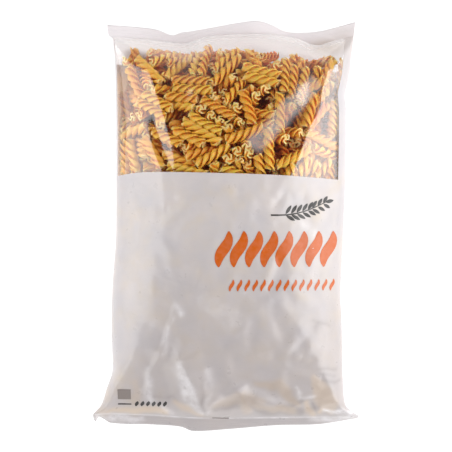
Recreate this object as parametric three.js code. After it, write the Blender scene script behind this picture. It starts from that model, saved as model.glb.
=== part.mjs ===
// A half-kilogram packet of dry spiral pasta: one tube of film, filled, then sealed flat across both ends.
// It lies on its back with the printed front up. Millimetres: X across the packet, Y from its bottom seal
// to its top seal, Z up. The origin is on the floor, under the middle of the packet's outline.
import * as THREE from "three";

// Driving sizes
const FULL_THICKNESS = 58; // floor to the highest part of the filled front
const SIDE_HEIGHT = 25; // floor to the film's turn from front to back, at the full middle
const TOP_SEAL_LEVEL = 15;
const BOTTOM_SEAL_LEVEL = 17;
const SEAL_THICKNESS = 1.2; // both films with their crimps
const CRIMP_DEPTH = 0.35;
const BOTTOM_SEAL_DROOP = 5.5; // how far the bottom seal's cut edge hangs under its inner line

// The filled form: how fast it swells from each seal, and how boxy its cross-section is
const FILL_SKEW = 0.92; // under 1, the packet is fullest towards its bottom
const FILL_POWER = 3.2; // towards the bottom seal
const TOP_FILL_POWER = 4.6; // towards the top seal, where it stays full for longer
const FILL_ROUNDING = 0.75; // under 1, the packet swells more steeply from its seals
const CROWN_SLOPE = 0.19; // of the front where it reaches a shoulder
const SIDE_POWER = 0.5; // of the front past a shoulder, which ends upright at the side edge
const BACK_POWER = 3.4; // the higher, the squarer the back's cross-section
const BACK_ROUNDING = 0.5; // under 1, the back turns upright where it meets the front
const BACK_PRESS = 1.2; // how far the resting back is pressed flat
const BACK_SWELL = 0.6; // under 1, the back reaches the floor nearer to each seal

// The grid: columns across, rows along each seal and along the body between the seals
const COLUMNS = 44;
const SEAL_ROWS = 4;
const BODY_ROWS = 44;
const ROWS = BODY_ROWS + 2 * SEAL_ROWS;

// Side edges as [y, x]: the film widens towards both seals, where it is pressed flat
const LEFT_EDGE = [
  [-132.7, -93.2],
  [-126.4, -87.4],
  [-113.8, -83],
  [-101, -79],
  [-78, -79.7],
  [-42, -79],
  [-11, -76.7],
  [29, -76.3],
  [84, -76.6],
  [117, -77.6],
  [126.4, -78.7],
  [131.8, -79.6],
  [133.7, -82.2],
  [141.2, -83.4],
];
const RIGHT_EDGE = [
  [-133.5, 93.2],
  [-130.6, 88.5],
  [-126, 84.1],
  [-110, 82.3],
  [-68, 81.3],
  [-47, 80.4],
  [-17, 81.9],
  [29, 83.7],
  [80, 84.3],
  [92, 83.6],
  [104.7, 86.6],
  [117, 88],
  [142, 91.2],
];

// Each seal's cut edge and inner line as [u, y], with u from -1 at the left to 1 at the right
const TOP_CUT = [
  [-1, 141.3],
  [-0.62, 138.9],
  [-0.48, 134.7],
  [-0.41, 136.4],
  [-0.34, 137.1],
  [-0.1, 140.3],
  [0.14, 143.5],
  [0.24, 143.6],
  [0.34, 140.9],
  [0.43, 137.5],
  [0.52, 136.3],
  [0.72, 137.1],
  [1, 142.9],
];
const TOP_INNER = [
  [-1, 132.5],
  [-0.73, 131.5],
  [-0.56, 130],
  [-0.41, 128.6],
  [-0.3, 131.5],
  [-0.2, 133.5],
  [0.06, 134.5],
  [0.33, 134.6],
  [0.53, 132.3],
  [0.7, 127.4],
  [0.85, 130.3],
  [1, 132.8],
];
const BOTTOM_CUT = [
  [-1, -135.6],
  [-0.985, -138.3],
  [-0.96, -135],
  [-0.87, -139.4],
  [-0.57, -140.9],
  [-0.34, -142.3],
  [-0.25, -145.2],
  [0.03, -144],
  [0.4, -141.5],
  [0.72, -140.6],
  [1, -135.9],
];
const BOTTOM_INNER = [
  [-1, -132.9],
  [-0.85, -132.6],
  [-0.2, -135.5],
  [0.1, -135.8],
  [0.9, -135],
  [1, -134.3],
];

// How far each seal's inner line stands above or below its level, as [u, z]
const TOP_WAVE = [
  [-1, 3],
  [-0.5, -4],
  [0.15, 4],
  [0.55, -3],
  [1, 5],
];
const BOTTOM_WAVE = [
  [-1, 4],
  [-0.6, -1],
  [-0.2, 1.5],
  [0.3, -1.5],
  [0.8, 0],
  [1, 4],
];

// The front's two shoulders as [y, u]: the crown between them is nearly flat, and beyond them the film
// slopes down to its side edges
const LEFT_SHOULDER = [
  [-128, -0.95],
  [-103, -0.91],
  [-90, -0.82],
  [-76, -0.74],
  [-52, -0.69],
  [-10, -0.57],
  [20, -0.52],
  [43, -0.486],
  [71, -0.564],
  [107, -0.7],
  [125, -0.75],
];
const RIGHT_SHOULDER = [
  [-128, 0.95],
  [-119, 0.92],
  [-95, 0.8],
  [-76, 0.68],
  [-60, 0.62],
  [-21, 0.54],
  [10, 0.43],
  [24, 0.47],
  [38, 0.545],
  [64, 0.665],
  [82, 0.767],
  [105, 0.8],
];

// The front film's main creases: each is a ridge along points [x, y] that falls away over a width to its
// left and one to its right, seen from its first point
const CREASES = [
  { line: [[-57, 76], [-54.5, 66], [-49.5, 50], [-44, 37], [-42, 20]], left: 6.5, right: 16, height: 2.1 },
  { line: [[-31, -92.8], [-27.6, -99], [-20.6, -115.9], [-15, -131.3]], left: 18, right: 9, height: 4.2 },
  { line: [[-15, -131.3], [-2.5, -119.4], [8.8, -113.8]], left: 8, right: 6, height: 2.6 },
  { line: [[17.2, -130.6], [10.9, -118], [7.4, -111.7]], left: 6, right: 7, height: 2.2 },
  { line: [[59.2, -132], [67.6, -125], [80.2, -121.5]], left: 5, right: 5, height: 2.2 },
];
const CREASE_ROUNDING = 0.5;
const CREASE_END_SHARE = 0.35; // of its height that a crease has left at both ends
const FREE_DISTANCE = 3; // from a side edge or seal, where the film starts to be free to fold

// Lumps where the pasta presses on the film
const LUMP_HEIGHT = 0.5;
const LUMP_SPACING = 31;
const LUMP_BEND = 1.3; // radians that a wave's crests sway
const LUMP_DIRECTIONS = [0.35, 1.42, 2.5]; // radians

const lerp = THREE.MathUtils.lerp;
const clamp = THREE.MathUtils.clamp;

// A smooth curve through keys [at, value]: between two keys it is the cubic whose slopes there are
// those of the line through the keys on either side, and beyond the last key it stays level.
function through(keys, at) {
  const last = keys.length - 1;
  if (at <= keys[0][0]) return keys[0][1];
  if (at >= keys[last][0]) return keys[last][1];
  const next = keys.findIndex(([position]) => position > at);
  const before = next - 1;
  const slope = (i) => {
    const a = keys[Math.max(i - 1, 0)];
    const b = keys[Math.min(i + 1, last)];
    return (b[1] - a[1]) / (b[0] - a[0]);
  };
  const [x0, y0] = keys[before];
  const [x1, y1] = keys[next];
  const span = x1 - x0;
  const f = (at - x0) / span;
  const rise = f * f * (3 - 2 * f);
  return (
    lerp(y0, y1, rise) +
    span * (slope(before) * f * (1 - f) * (1 - f) - slope(next) * f * f * (1 - f))
  );
}

// How full the packet is at body station t, from 0 at each seal to 1 in its fullest part
function fullness(t) {
  const fromMiddle = 2 * t ** FILL_SKEW - 1;
  const power = fromMiddle > 0 ? TOP_FILL_POWER : FILL_POWER;
  return Math.max(0, 1 - Math.abs(fromMiddle) ** power) ** FILL_ROUNDING;
}

// A point's signed distance to a line of points, less than 0 on its right, and how far along it lies
function nearestOnLine(x, y, line) {
  let nearest = { distance: Infinity, side: 1, passed: 0 };
  let total = 0;
  for (let i = 0; i + 1 < line.length; i++) {
    const [x0, y0] = line[i];
    const [dx, dy] = [line[i + 1][0] - x0, line[i + 1][1] - y0];
    const length = Math.hypot(dx, dy);
    const travel = clamp(((x - x0) * dx + (y - y0) * dy) / length, 0, length);
    const distance = Math.hypot(x - x0 - (travel * dx) / length, y - y0 - (travel * dy) / length);
    if (distance < nearest.distance) {
      nearest = { distance, side: Math.sign(dx * (y - y0) - dy * (x - x0)), passed: total + travel };
    }
    total += length;
  }
  return { away: nearest.distance * nearest.side, along: nearest.passed / total };
}

// One crease's height at a point: a tent over its line, with a rounded crest, lower towards both ends
function creaseHeight(x, y, { line, left, right, height }) {
  const { away, along } = nearestOnLine(x, y, line);
  const rounded = Math.hypot(away, CREASE_ROUNDING) - CREASE_ROUNDING;
  const tent = Math.max(0, 1 - rounded / (away > 0 ? left : right));
  return height * tent * lerp(CREASE_END_SHARE, 1, Math.sqrt(Math.sin(Math.PI * along)));
}

// The lumps' height: waves in three directions, whose crests meet at irregular places
function lumps(x, y) {
  let sum = 0;
  for (const turn of LUMP_DIRECTIONS) {
    const along = x * Math.cos(turn) + y * Math.sin(turn);
    const across = y * Math.cos(turn) - x * Math.sin(turn);
    sum += Math.sin((2 * Math.PI * along) / LUMP_SPACING + LUMP_BEND * Math.sin(across / LUMP_SPACING));
  }
  return (LUMP_HEIGHT * sum) / LUMP_DIRECTIONS.length;
}

// The front's section, 1 in its middle and 0 at its side edges: a shallow parabola between the shoulders,
// then a square-root curve that ends upright at the edge
function frontSection(u, y, halfWidth) {
  const shoulder = u < 0 ? -through(LEFT_SHOULDER, y) : through(RIGHT_SHOULDER, y);
  const drop = (CROWN_SLOPE * shoulder * halfWidth) / 2 / (FULL_THICKNESS - SIDE_HEIGHT);
  if (Math.abs(u) < shoulder) return 1 - drop * (u / shoulder) ** 2;
  return (1 - drop) * ((1 - Math.abs(u)) / (1 - shoulder)) ** SIDE_POWER;
}

// Height of the front at column u and body station t, over a seal line at height sealLevel. Creases and
// lumps fade out towards the side edges and the seals, where the film is held.
function frontHeight(u, t, sealLevel, x, y, halfWidth, length) {
  const full = fullness(t);
  const side = lerp(sealLevel, SIDE_HEIGHT, full);
  const crown = lerp(sealLevel, FULL_THICKNESS, full);
  const fromSide = (1 - Math.abs(u)) * halfWidth;
  const fromSeal = Math.min(t, 1 - t) * length;
  const free = (1 - Math.exp(-fromSide / FREE_DISTANCE)) * (1 - Math.exp(-fromSeal / FREE_DISTANCE));
  const relief = CREASES.reduce((sum, crease) => sum + creaseHeight(x, y, crease), lumps(x, y));
  return lerp(side, crown, frontSection(u, y, halfWidth)) + free * relief;
}

// Height of the back, which the packet's weight presses flat on the floor
function backHeight(u, t, sealLevel) {
  const full = fullness(t);
  const side = lerp(sealLevel, SIDE_HEIGHT, full);
  const under = lerp(sealLevel, -BACK_PRESS, full ** BACK_SWELL);
  const round = (1 - Math.abs(u) ** BACK_POWER) ** BACK_ROUNDING;
  return Math.max(0, lerp(side, under, round));
}

// Where row share v of the grid lies: a seal or the body, and how far along it
function stationOf(v) {
  const row = Math.round(v * ROWS);
  if (row <= SEAL_ROWS) return { zone: "bottom", along: row / SEAL_ROWS, row };
  if (row >= ROWS - SEAL_ROWS) return { zone: "top", along: (row - ROWS + SEAL_ROWS) / SEAL_ROWS, row };
  const even = (row - SEAL_ROWS) / BODY_ROWS;
  return { zone: "body", along: (1 - Math.cos(Math.PI * even)) / 2, row }; // closer rows towards the seals
}

// The point of the packet at grid place (c, v), on its front or its back
function packetPoint(c, v, isFront) {
  const u = Math.sin((c * Math.PI) / 2); // closer columns towards the side edges
  const { zone, along, row } = stationOf(v);
  const topInner = through(TOP_INNER, u);
  const bottomInner = through(BOTTOM_INNER, u);
  const topLevel = TOP_SEAL_LEVEL + through(TOP_WAVE, u);
  const bottomLevel = BOTTOM_SEAL_LEVEL + through(BOTTOM_WAVE, u);
  const halfWall = (isFront ? SEAL_THICKNESS : -SEAL_THICKNESS) / 2;
  const crimp = row % 2 ? CRIMP_DEPTH / 2 : -CRIMP_DEPTH / 2;

  let y;
  let z;
  if (zone === "bottom") {
    y = lerp(through(BOTTOM_CUT, u), bottomInner, along);
    z = bottomLevel - BOTTOM_SEAL_DROOP * (1 - along) + halfWall + crimp * (isFront ? 1 : -1);
  } else if (zone === "top") {
    y = lerp(topInner, through(TOP_CUT, u), along);
    z = topLevel + halfWall + crimp * (isFront ? 1 : -1);
  } else {
    y = lerp(bottomInner, topInner, along);
  }
  const left = through(LEFT_EDGE, y);
  const right = through(RIGHT_EDGE, y);
  const x = lerp(left, right, (u + 1) / 2);
  if (zone === "body") {
    const level = lerp(bottomLevel, topLevel, along);
    const [halfWidth, length] = [(right - left) / 2, topInner - bottomInner];
    z = isFront ? frontHeight(u, along, level, x, y, halfWidth, length) : backHeight(u, along, level);
    z += halfWall;
    if (!isFront) z = Math.max(0, z);
  }
  return [x, y, z];
}

// A box of the grid's rows and columns, with every corner moved to its place on the packet
function packetGeometry() {
  const geometry = new THREE.BoxGeometry(2, 1, 1, COLUMNS, ROWS, 1);
  const place = geometry.getAttribute("position");
  for (let i = 0; i < place.count; i++) {
    place.setXYZ(i, ...packetPoint(place.getX(i), place.getY(i) + 0.5, place.getZ(i) > 0));
  }
  geometry.computeBoundingBox();
  const { min, max } = geometry.boundingBox;
  geometry.translate(-(min.x + max.x) / 2, -(min.y + max.y) / 2, -min.z);
  geometry.computeVertexNormals();
  return geometry;
}

const film = new THREE.MeshStandardMaterial({ color: 0xddd6d2, roughness: 0.35, metalness: 0 });
const packet = new THREE.Mesh(packetGeometry(), film);
packet.name = "packet";

const group = new THREE.Group();
group.add(packet);

export default group;
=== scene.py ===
"""The looks of a half-kilogram packet of dry spiral pasta, which lies on its back with its print up.

The film is one tube, clear in its window and milky white elsewhere. It follows the same driving sizes and
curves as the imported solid, with finer folds, and spirals that settled against it lie under the window.
Shapes are worked out in millimetres, X across, Y from the bottom seal to the top seal and Z up, and become
metres when their mesh is made.
"""

import functools
import math

import bmesh
import bpy
import numpy as np
from bpy.props import FloatProperty, FloatVectorProperty, IntProperty, PointerProperty
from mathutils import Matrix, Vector


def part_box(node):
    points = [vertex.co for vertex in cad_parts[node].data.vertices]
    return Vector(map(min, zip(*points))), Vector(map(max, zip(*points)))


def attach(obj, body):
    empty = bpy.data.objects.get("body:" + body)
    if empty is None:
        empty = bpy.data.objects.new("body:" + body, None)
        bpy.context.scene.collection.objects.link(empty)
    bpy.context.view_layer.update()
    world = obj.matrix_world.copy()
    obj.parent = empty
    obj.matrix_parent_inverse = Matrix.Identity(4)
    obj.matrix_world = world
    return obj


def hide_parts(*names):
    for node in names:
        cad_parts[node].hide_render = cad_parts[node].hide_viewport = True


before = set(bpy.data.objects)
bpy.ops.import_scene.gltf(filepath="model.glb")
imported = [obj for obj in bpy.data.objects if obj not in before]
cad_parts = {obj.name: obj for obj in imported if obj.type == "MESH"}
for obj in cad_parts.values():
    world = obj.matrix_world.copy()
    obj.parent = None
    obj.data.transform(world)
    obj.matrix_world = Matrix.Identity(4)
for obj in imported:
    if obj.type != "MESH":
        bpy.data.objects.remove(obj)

bl_info = {
    "name": "Pasta Packet",
    "version": (1, 0, 0),
    "blender": (4, 5, 0),
    "location": "View3D > Sidebar > Packet",
    "description": "Film, print and dry spirals of a half-kilogram pasta packet",
    "category": "Object",
}

MM = 0.001
NODE = "packet"
BODY = "root"

# The filled form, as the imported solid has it
FULL_THICKNESS = 58.0
SIDE_HEIGHT = 25.0
TOP_SEAL_LEVEL = 15.0
BOTTOM_SEAL_LEVEL = 17.0
SEAL_HEIGHT = 9.5
BOTTOM_SEAL_DROOP = 5.5
FILL_SKEW = 0.92
FILL_POWER = 3.2
TOP_FILL_POWER = 4.6
FILL_ROUNDING = 0.75
CROWN_SLOPE = 0.19
SIDE_POWER = 0.5
BACK_POWER = 3.4
BACK_ROUNDING = 0.5
BACK_PRESS = 1.2
BACK_SWELL = 0.6

# Side edges as (y, x)
LEFT_EDGE = (
    (-132.7, -93.2), (-126.4, -87.4), (-113.8, -83), (-101, -79), (-78, -79.7), (-42, -79), (-11, -76.7),
    (29, -76.3), (84, -76.6), (117, -77.6), (126.4, -78.7), (131.8, -79.6), (133.7, -82.2),
    (141.2, -83.4),
)
RIGHT_EDGE = (
    (-133.5, 93.2), (-130.6, 88.5), (-126, 84.1), (-110, 82.3), (-68, 81.3), (-47, 80.4), (-17, 81.9),
    (29, 83.7), (80, 84.3), (92, 83.6), (104.7, 86.6), (117, 88), (142, 91.2),
)

# Cut edges, the bottom seal's inner line and the window's lower edge as (u, y), u from -1 left to 1 right
TOP_CUT = (
    (-1, 141.3), (-0.62, 138.9), (-0.48, 134.7), (-0.41, 136.4), (-0.34, 137.1), (-0.1, 140.3),
    (0.14, 143.5), (0.24, 143.6), (0.34, 140.9), (0.43, 137.5), (0.52, 136.3), (0.72, 137.1), (1, 142.9),
)
BOTTOM_CUT = (
    (-1, -135.6), (-0.985, -138.3), (-0.96, -135), (-0.87, -139.4), (-0.57, -140.9), (-0.34, -142.3),
    (-0.25, -145.2), (0.03, -144), (0.4, -141.5), (0.72, -140.6), (1, -135.9),
)
TOP_INNER = (
    (-1, 132.5), (-0.73, 131.5), (-0.56, 130), (-0.41, 128.6), (-0.3, 131.5), (-0.2, 133.5),
    (0.06, 134.5), (0.33, 134.6), (0.53, 132.3), (0.7, 127.4), (0.85, 130.3), (1, 132.8),
)
BOTTOM_INNER = (
    (-1, -132.9), (-0.85, -132.6), (-0.2, -135.5), (0.1, -135.8), (0.9, -135), (1, -134.3),
)
WINDOW_EDGE = (
    (-1, 34.3), (-0.83, 36.2), (-0.58, 36.6), (-0.09, 35.7), (0.4, 34.4), (0.93, 31.7), (1, 31.2),
)

# The front's two shoulders as (y, u): the crown between them is nearly flat, and beyond them the film
# slopes down to its side edges
LEFT_SHOULDER = (
    (-128, -0.95), (-103, -0.91), (-90, -0.82), (-76, -0.74), (-52, -0.69), (-10, -0.57), (20, -0.52),
    (43, -0.486), (71, -0.564), (107, -0.7), (125, -0.75),
)
RIGHT_SHOULDER = (
    (-128, 0.95), (-119, 0.92), (-95, 0.8), (-76, 0.68), (-60, 0.62), (-21, 0.54), (10, 0.43), (24, 0.47),
    (38, 0.545), (64, 0.665), (82, 0.767), (105, 0.8),
)

# How far each seal's inner line stands above or below its level, as (u, z)
TOP_WAVE = ((-1, 3), (-0.5, -4), (0.15, 4), (0.55, -3), (1, 5))
BOTTOM_WAVE = ((-1, 4), (-0.6, -1), (-0.2, 1.5), (0.3, -1.5), (0.8, 0), (1, 4))

# White strips that frame the window, as places u across the front
LEFT_STRIP = -0.985
RIGHT_STRIP = 0.93

# Creases of the front film, each a line of points (x, y), how far the film falls away to the line's left and
# to its right as seen from its first point, and its height
CREASES = (
    (((-42, 128), (-50, 109.5)), 9, 12, 1.5),
    (((-57, 76), (-54.5, 66), (-49.5, 50), (-44, 37), (-42, 20)), 6.5, 16, 2.1),
    (((60, 104), (48, 89), (34, 74), (21, 58)), 9.5, 12, 0.4),
    (((54.3, 125), (64.8, 114.5), (71, 105.4)), 5, 7, 1.6),
    (((52.2, 125), (43, 118), (36, 111)), 7, 6, 0.5),
    (((-33.3, -52.2), (-37.5, -67.6), (-42.4, -83.7), (-51.5, -101.2), (-55, -118.7)), 5, 3, 1.0),
    (((-31, -92.8), (-27.6, -99), (-20.6, -115.9), (-15, -131.3)), 18, 9, 4.2),
    (((-15, -131.3), (-2.5, -119.4), (8.8, -113.8)), 8, 6, 1.6),
    (((45.9, -126.4), (53.6, -122.2), (66.2, -120.1), (76.7, -116.6)), 5, 5, 2.2),
    (((17.2, -130.6), (10.9, -118), (7.4, -111.7)), 6, 7, 2.2),
    (((59.2, -132), (67.6, -125), (80.2, -121.5)), 5, 5, 2.2),
    (((41.7, -129.2), (27.7, -122.9), (20, -119.4)), 7, 6, 2.0),
    (((-45, -131), (-48, -122), (-56, -116)), 5, 6, 1.6),
    (((20, -88), (34, -84), (52, -91)), 8, 6, 1.2),
    (((-14, -46), (2, -60), (26, -58)), 8, 9, 1.0),
    (((58, -8), (62, -22), (57, -36)), 6, 8, 1.2),
    (((-66, 18), (-58, 2), (-62, -20)), 7, 6, 1.1),
    (((-68, -60), (-62, -84), (-70, -104)), 6, 7, 1.2),
    (((64, -60), (70, -76), (66, -94)), 6, 7, 1.2),
    (((22, -104), (44, -101), (66, -106)), 9, 7, 1.3),
)
CREASE_ROUNDING = 0.5
CREASE_FOOT = 0.18
CREASE_END_HEIGHT = 0.35
CREASE_SWELL = 0.65
FREE_DISTANCE = 3.0

# The spirals' heap: its uneven top as (x, y), how far it reaches under the white film and below the front,
# and the ripple of its top
HEAP_TOP = (
    (-75, 124), (-66, 128), (-50, 125), (-30, 123), (0, 123.5), (25, 122), (48, 117), (70, 120), (80, 116),
)
HEAP_UNDER_WHITE = 14.0
HEAP_DEPTH = 33.0
HEAP_RIPPLE = 2.6
RIPPLE_LENGTH = 15.0

# Below y = WHITE_START the film is white, and over WHITE_FADE it turns slacker, with rounder shoulders
WHITE_START = 30.0
WHITE_FADE = 4.0
SHOULDER_ROUNDING = 0.045

# The lengthwise lap of the back, and how close two points are to be one
LAP_PLACE = 4.0
LAP_WIDTH = 7.0
LAP_HEIGHT = 0.25
MERGE_DISTANCE = 1e-6

# How the film's grid is divided: columns in each white strip, and how even the rows are
LEFT_COLUMNS = 4
RIGHT_COLUMNS = 14
ROW_EVENNESS = 0.55

# Pasta that presses on the film: its width, the least touch that counts and how touch fades with distance
PRESS_WIDTH = 4.6
LEAST_TOUCH = 0.02
TOUCH_FADE = 2

# The pasta that presses on the white film: a slanted grid of bars, each moved and turned at random
HIDDEN_SEED = 7
HIDDEN_PITCH = (12.5, 13.5)
HIDDEN_SHIFT = (-4, 4)
HIDDEN_REACH = 10.5
HIDDEN_TOP = 24

# The grid on which the heap's space is kept, and the room that a spiral needs in it
GRID_X = (-95, 95)
GRID_Y = (-8, 140)
GRID_STEP = 0.8
FIT_ALLOWANCE = 1.06
EDGE_GAP = 0.8
EDGE_MARGIN = 0.3
NEVER = 1e3

# How the spirals are thrown in: where, how deep below the front and above the back, and how uneven
THROW_X = (-74, 78)
THROW_Y = (20, 121)
THROW_POWER = 1.2
THROW_MARGIN = 8
THROW_TOP = 5
THROW_BOTTOM = 4
RADIUS_SPREAD = 0.035
LENGTH_RANGE = (0.84, 1.13)
PITCH_SPREAD = 0.06
BEND = 0.75
FLARE_RANGE = (-0.1, 0.05)
SLANT = 0.42
ROUND_END = 0.6

# How they settle: the shares of an overlap by which bars move and turn, the drift outwards, towards the top
# seal and up to the front film during the first DRIFT_SHARE of the steps, and how often and how widely
# neighbours are looked for
PUSH_SHARE = 0.6
PUSH_TURN = 0.7
HOLD_SHARE = 0.45
HOLD_TURN = 0.6
DRIFT = (0.55, 0.04, 0.07)
DRIFT_SHARE = 0.7
LIFT_WIDTH = 0.7
LAST_HOLDS = 30
PAIR_STEPS = 15
PAIR_REACH = 1.15

# A spiral's cross-section: three curled arms, with the root and thickness as shares of its radius and the
# curl in radians
ARM_ROOT = 0.2
ARM_THICKNESS = 0.3
ARM_CURL = 1.5
FINE = 8

# A spiral's ends: how steeply they flare, and the rim share at which pale edges start
END_POWER = 8
END_START = 0.85

# Meshes of spirals near the film, of deep ones and of those for a test: steps along an arm, steps around its
# tip, and rings
NEAR_MESH = (5, 3, 15)
DEEP_MESH = (3, 1, 11)
TEST_MESH = (3, 1, 10)
SHARP_ANGLE = math.radians(50)

# Painted shade, where pasta turns redder: from DEEP_START below the film over DEEP_SPAN, but not at the
# packet's sides
DEEP_START = 3.0
DEEP_SPAN = 12.0
DEEP_MOST = 0.9
DEEP_SIDE = 0.4

# Painted light: the pale back behind the empty top of the bag, from HEADSPACE[0] to HEADSPACE[1] over the
# heap's top, and the pale front near the top seal
HEADSPACE = (-10.0, -2.0)
NEAR_SEAL_PAINTED_LIGHT = 0.85
NEAR_SEAL_WIDTH = 6.0

# The warm lining inside the back, seen through the gaps between spirals: which rows and columns of the back's
# grid it takes, where it starts and fades, and how much paler it and the film behind it are at the packet's
# sides, which is painted light
LINING_ROWS = slice(40, -16, 4)
LINING_COLUMNS = slice(1, -1, 2)
LINING_DEPTH = 0.3
LINING_SHARE = 0.95
LINING_START = 8.0
LINING_FADE = 3.0
LINING_TOP_FADE = 12.0
LINING_SIDE = (60.0, 72.0)
LINING_SIDE_PAINTED_LIGHT = 0.15
BACK_SIDE_PAINTED_LIGHT = 0.9

# Painted shade of the white film, darker towards the bottom seal, as (y, share), what of it stays past its
# left and right shoulder, and oval beige spots as (x, y, half width, half height, strength)
PAINTED_SHADE = (
    (-142, 0.5), (-136, 0.52), (-134, 0.6), (-110, 0.56), (-75, 0.5), (-40, 0.34), (0, 0.18), (36, 0.14),
)
SIDE_SHADE = (0.1, 0.85)
SHOULDER_BLEND = 0.07
BEIGE_SPOTS = ((-86, -130, 6, 4, 0.5), (84, 130, 12, 9, 0.2), (72, 126, 13, 5, 0.5))

# Folds of the white film, each a line of points (x, y), its half width from its first point to its last, and
# a strength. White ones are painted highlights, warm ones turn the film beige, and dark ones are painted
# shade where a fold turns from the light
PAINTED_FOLD_HIGHLIGHTS = (
    (((-30.9, -95.5), (-28.8, -108.5), (-24.9, -118.5), (-15.7, -131.6)), (2.0, 4.0, 5.2, 3.8, 0.4), 0.44),
    (((-11, -100), (-11.4, -112.8), (-13.2, -129.9)), (2.2, 2.6, 0.6), 0.2),
    (((-13.5, -132), (-8.5, -125.6), (-2.1, -119.2)), (0.8, 1.2, 1.4), 0.24),
    (((-52.6, -99), (-53.3, -110), (-54, -117), (-51.2, -122.8)), (1.0, 2.2, 2.6, 1.0), 0.32),
    (((-43.4, -125.6), (-37.7, -131.3)), (1.0, 2.2), 0.35),
    (((-34.4, -54.1), (-30.3, -61)), (0.8, 1.7), 0.5),
    (((-36.7, -63.2), (-40.2, -79.7), (-43.7, -87.9)), (0.8, 0.9), 0.35),
    (((-14, -52), (4, -64)), (5.0, 8.0), 0.12),
    (((53, 3.5), (60, -4.8)), (1.5, 4.0), 0.3),
    (((10, -111), (26, -117), (42, -124)), (2.0, 3.0, 2.0), 0.1),
    (((48, -112), (52.6, -119.4), (61.5, -119.4)), (0.4, 1.1, 0.6), 0.6),
    (((69.3, -129.4), (77, -130), (87, -131.4)), (0.7, 1.2, 2.0), 1.0),
    (((-90, -136), (-76, -136.6), (-60, -137)), (2.6, 3.0, 2.0), 0.45),
    (((60, -137.5), (76, -136.5), (92, -134)), (1.5, 2.5, 2.0), 0.45),
)
WARM_FOLDS = (
    (((-83.2, -130.4), (-64, -129.4), (-42, -129.4)), (1.2, 2.6, 2.4), 0.8),
    (((-35, -122.6), (-28.5, -127.4), (-16.4, -132.6)), (1.2, 2.6, 0.6), 0.65),
    (((-83, -114), (-82, -121)), (2.0, 2.6), 0.3),
    (((-63, -108), (-61, -124)), (2.0, 3.0), 0.3),
    (((-5.7, -125.6), (8, -119), (24, -124)), (2.5, 4.5, 5.0), 0.32),
    (((11.4, -116.4), (15.6, -129.9)), (2.0, 3.4), 0.42),
    (((20.8, -109.3), (36.8, -110.3), (44.2, -119.9), (50.6, -124.2)), (1.2, 3.5, 4.0, 2.0), 0.42),
    (((19.7, -125.2), (34.1, -127.9), (47.4, -129.5)), (1.0, 2.6, 3.0), 0.45),
    (((57, -122.6), (58.1, -129), (61.3, -133)), (1.4, 1.8, 2.0), 0.75),
    (((65.6, -131.1), (68.2, -128.2), (76, -128)), (1.0, 1.1, 1.0), 0.95),
    (((61, -106), (67, -117.3), (72.5, -125)), (2.4, 7.0, 6.5), 0.55),
)
# Painted shade: dark lines and patches where the folds turn from the light
PAINTED_FOLD_SHADOWS = (
    (((-16.2, -106), (-15.6, -120), (-14.2, -131.6)), (0.6, 1.0, 1.2), 0.3),
    (((-50.5, -119.2), (-36.3, -118.5), (-33.4, -122)), (0.5, 0.8, 0.5), 0.25),
    (((46.4, -126.9), (54.9, -121)), (0.6, 0.9), 0.5),
    (((61.5, -124), (63.4, -130.6), (67, -127)), (0.5, 0.8, 0.5), 0.45),
    (((66, -99.2), (77, -98.8)), (0.4, 0.9, 0.4), 0.35),
    (((65, -103), (76, -103.4)), (0.4, 0.8, 0.4), 0.3),
    (((67, -108), (79, -107.4)), (0.4, 1.0, 0.4), 0.35),
    (((60, -66), (72, -69)), (0.4, 1.0, 0.4), 0.3),
    (((-6, -128), (12, -121), (28, -129.5), (52, -129.5)), (2.5, 4.5, 3.5, 3.5), 0.34),
    (((20, -109), (36, -111), (44, -119), (50, -126)), (1.2, 3.0, 3.6, 2.0), 0.24),
)
FOLD_SOFTNESS = 0.7
# Painted highlight: a light seam along the bottom seal's inner line
SEAM_HIGHLIGHT = 0.5
SEAM_HALF_WIDTH = 0.55

# Painted reflections: milky bands of the clear film where it is folded, written as the folds are, and a
# painted highlight along the top seal
PAINTED_REFLECTION_BANDS = (
    (((76, 100), (71, 74), (67, 54), (62, 34)), (9.0, 9.0), 0.12),
    (((59, 96), (39, 74.5), (22, 56.5)), (6.0, 6.0), 0.26),
)
BAND_SOFTNESS = 0.8
SEAL_LINE_HIGHLIGHT = 0.6
SEAL_LINE_WIDTH = 2.0

# Waves that keep a fold's edge from running straight, as (height, length) along the other axis
UNEVEN_X = ((0.8, 4.1), (0.4, 1.9))
UNEVEN_Y = ((0.7, 3.7), (0.35, 1.7))

# The print: rows of slanted lobes as (left, right, low, high, count, width), straight strips as (start, end,
# half width) with places x + iy, and the sprig
BIG_LOBES = (-5, 75, -28.5, -4, 8, 7.6)
SMALL_LOBES = (3, 75, -45, -37, 14, 2.3)
DOTS = (-63, -41, -126.3, -122.4, 6, 2.3)
BAR = (-75 - 124.6j, -65.6 - 124.6j, 0.45)
SQUARE = (-70.3 - 121j, -70.3 - 113.6j, 4.6)
SEAL_MARK = (-9.3 - 135.4j, 2.4 - 135.8j, 0.55)
LOBE_SLANT = 0.28
SPRIG_START = 31 + 7j
SPRIG_END = 69 + 16j
SPRIG_BOW = 3.0
PRINT_LIFT = 0.14

# The sprig's stem and its grains in pairs: their places along it, turn, start, lengths and width, and the
# length and width of the last one
STEM_STEPS = 40
STEM_HALF_WIDTH = (0.55, 0.3)
GRAIN_PLACES = (0.26, 0.95)
GRAIN_PAIRS = 8
GRAIN_TURN = 0.75
GRAIN_START = 0.8
GRAIN_LENGTH = (8.5, 6.0)
GRAIN_WIDTH = 2.3
LAST_GRAIN = (6, 2.6)

# The range of noise that clouds spread over: soft, firm, and for specks alone
SOFT_CLOUDS = (0.3, 0.7)
FIRM_CLOUDS = (0.35, 0.65)
SPECKS = (0.4, 0.7)

# The film's wrinkles: their stretch across the packet, a crease's share of its noise, and height in metres
WRINKLE_STRETCH = (0.6, 1.0, 1.0)
WRINKLE_WIDTH = 0.06
WRINKLE_HEIGHT = 0.0012
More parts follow.
